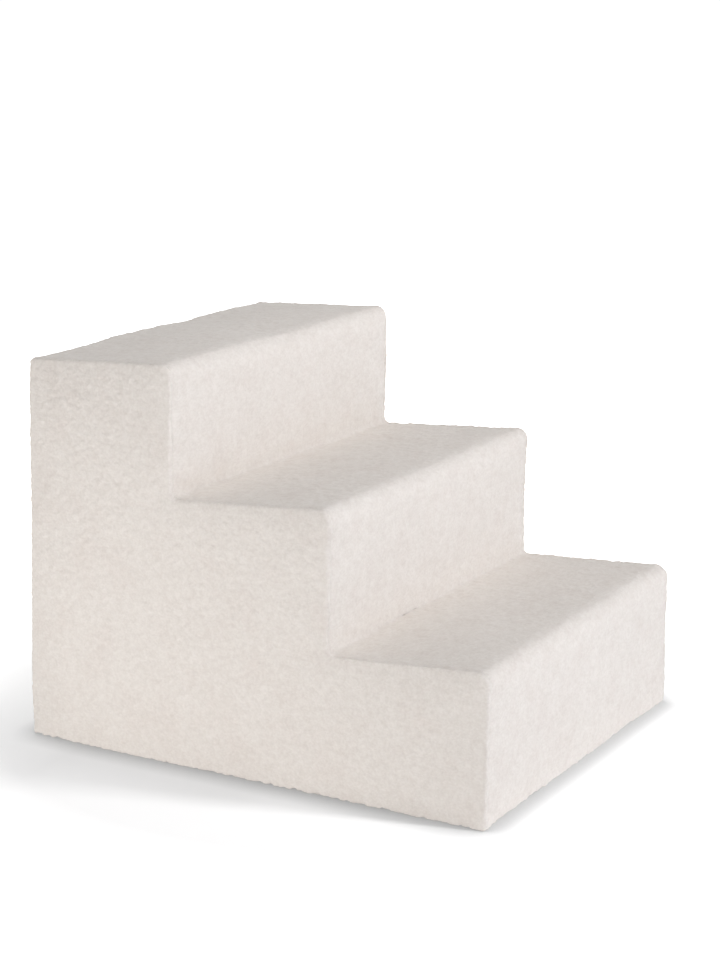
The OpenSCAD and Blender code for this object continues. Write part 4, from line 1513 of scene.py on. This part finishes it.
@dataclass
class Studio:
    """Camera, pale floor, white surroundings and soft lights."""

    camera_place: Triple = (-2.0587, -1.1252, 0.8105)
    yaw: float = 61.299
    pitch: float = 10.960
    roll: float = 0.945
    lens: float = 87.66
    shift_y: float = -0.1
    clip_end: float = 60.0
    floor_half: float = 14.0
    floor_colour: Triple = (0.80, 0.80, 0.80)
    floor_glow: float = 0.131
    floor_shade: Triple = (0.40, 0.40, 0.40)
    floor_seen: float = 0.485
    # Painted light: the floor's glow to the camera grows behind the stairs and further off.
    floor_behind: Triple = (0.19, 0.37, 0.30)
    floor_around: Triple = (0.375, 0.875, 1.0)
    # Painted contact shadow: an ambient occlusion node darkens the floor's colour and glow near the
    # stairs, deeper in front of the lowest riser.
    contact_reach: float = 0.032
    contact_power: float = 0.65
    contact_front: Pair = (0.18, 0.92)
    contact_least: float = 0.6
    contact_samples: int = 12
    front_y: Pair = (-0.245, -0.258)
    sky_low: float = 1.01
    sky_high: float = 0.0
    white: float = 1.05
    lights: tuple[Softbox, ...] = (
        Softbox("key", (0.30, -0.79, 2.66), (0.0, 0.0, 0.2), 0.6, 23.0, (1.0, 0.985, 0.985)),
        Softbox("near_camera", (-2.90, -2.90, 1.07), (0.0, 0.0, 0.2), 2.6, 18.5,
                (0.94, 0.93, 1.0)),
        Softbox("left", (-0.85, 0.22, 0.06), (0.0, 0.0, 0.12), 0.6, 1.4, (1.0, 0.975, 0.97),
                flat=0.15),
        Softbox("front", (0.00, -2.54, 0.74), (0.0, 0.0, 0.2), 1.8, 22.8, (0.87, 0.90, 1.0)),
        Softbox("floor", (0.44, -2.66, 0.76), (0.0, 0.0, 0.0), 0.30, 148.0, (1.0, 1.0, 1.0),
                floor_alone=True),
    )

    def camera(self) -> None:
        """The camera at the photograph's angle."""
        data = bpy.data.cameras.new("camera")
        data.lens = self.lens
        data.shift_y = self.shift_y
        data.clip_end = self.clip_end
        yaw, pitch, roll = (math.radians(a) for a in (self.yaw, self.pitch, self.roll))
        forward = Vector((math.sin(yaw) * math.cos(pitch), math.cos(yaw) * math.cos(pitch),
                          -math.sin(pitch)))
        right = forward.cross(Vector((0, 0, 1))).normalized()
        up = right.cross(forward)
        turned_right = right * math.cos(roll) + up * math.sin(roll)
        turned_up = up * math.cos(roll) - right * math.sin(roll)
        camera = bpy.data.objects.new("camera", data)
        axes = Matrix((turned_right, turned_up, -forward)).transposed().to_4x4()
        camera.matrix_world = Matrix.Translation(self.camera_place) @ axes
        bpy.context.scene.collection.objects.link(camera)
        bpy.context.scene.camera = camera

    def floor(self) -> Piece:
        """A plain pale floor with a painted soft contact shadow, which an ambient occlusion node
        makes in its colour and glow.

        To the camera it glows brighter behind the stairs and further off, which is painted light,
        and the painted contact shadow is shorter and deeper in front of the lowest riser than
        beside the stairs.
        """
        material = bpy.data.materials.new("floor")
        material.use_nodes = True
        g = Graph(material.node_tree)
        seen = g.add("ShaderNodeLightPath").outputs["Is Camera Ray"]
        sky = g.add("ShaderNodeAmbientOcclusion", {"Distance": self.contact_reach},
                    samples=self.contact_samples).outputs["AO"]
        place = g.add("ShaderNodeTexCoord").outputs["Object"]
        back = g.add("ShaderNodeSeparateXYZ", {0: place}).outputs[1]
        # Painted contact shadow: the share of the floor's colour and camera glow left near the
        # stairs, from the ambient occlusion.
        painted_contact_share = g.add("ShaderNodeMix", {
            0: g.ramp(back, *self.front_y), 2: g.math("POWER", sky, self.contact_power),
            3: g.ramp(sky, *self.contact_front)}).outputs[0]
        painted_contact_share = g.math("MAXIMUM", painted_contact_share, self.contact_least)
        away = g.add("ShaderNodeVectorMath", {0: place}, operation="LENGTH").outputs["Value"]
        # Painted light: the camera glow grows behind the stairs and further off.
        lift = self.floor_seen
        for way, (low, high, gain) in ((back, self.floor_behind), (away, self.floor_around)):
            lift = g.math("MULTIPLY_ADD", g.ramp(way, low, high), gain, lift)
        near = g.mix(painted_contact_share, rgba((0.0, 0.0, 0.0)), rgba(self.floor_shade))
        glow = g.add("ShaderNodeMix", {0: seen, 2: self.floor_glow, 3: g.times(painted_contact_share, lift)})
        shader = g.add("ShaderNodeBsdfPrincipled", {
            "Base Color": g.mix(seen, rgba(self.floor_colour), near),
            "Roughness": 1.0, "Specular IOR Level": 0.0,
            "Emission Color": WHITE, "Emission Strength": glow.outputs[0]})
        g.add("ShaderNodeOutputMaterial", {"Surface": shader.outputs[0]})
        square = np.array([[-1, -1, 0], [1, -1, 0], [1, 1, 0], [-1, 1, 0]]) * self.floor_half / MM
        floor = make_piece("floor", Shell(square, [], [np.arange(4)[None]]), material)
        return floor

    def surroundings(self) -> None:
        """White behind the stairs; elsewhere a soft glow, stronger at the sides than above."""
        world = bpy.data.worlds.new("studio")
        world.use_nodes = True
        bpy.context.scene.world = world
        g = Graph(world.node_tree)
        place = g.add("ShaderNodeTexCoord").outputs["Generated"]
        up = g.add("ShaderNodeSeparateXYZ", {0: place}).outputs[2]
        low, high, white = (
            g.add("ShaderNodeBackground", {"Color": WHITE, "Strength": x}).outputs[0]
            for x in (self.sky_low, self.sky_high, self.white))
        glow = g.add("ShaderNodeMixShader", {0: g.ramp(up, 0.0, 1.0), 1: low, 2: high}).outputs[0]
        seen = g.add("ShaderNodeLightPath").outputs["Is Camera Ray"]
        shown = g.add("ShaderNodeMixShader", {0: seen, 1: glow, 2: white}).outputs[0]
        g.add("ShaderNodeOutputWorld", {"Surface": shown})

    def build(self) -> None:
        """Sets up the studio."""
        self.camera()
        floor = self.floor()
        self.surroundings()
        for light in self.lights:
            light.add(floor)
        bpy.context.scene.view_settings.view_transform = "Standard"


def main() -> None:
    """Builds the studio and the stairs, piece by piece, and reports them."""
    logging.basicConfig(level=logging.INFO, format="%(name)s: %(message)s")
    Studio().build()
    sizes, zipper = StairSizes.from_frame(), ZipSizes.from_frame()
    materials = {finish.name: finish.material() for finish in FINISHES}
    for kind in (FoamCore, NonSlipBase, Zip, PlushCover):
        for piece in kind(sizes, zipper, materials).build():
            LOG.info("%s: %s, %d faces", kind.__name__, piece.name, len(piece.data.polygons))


if __name__ == "__main__":
    main()
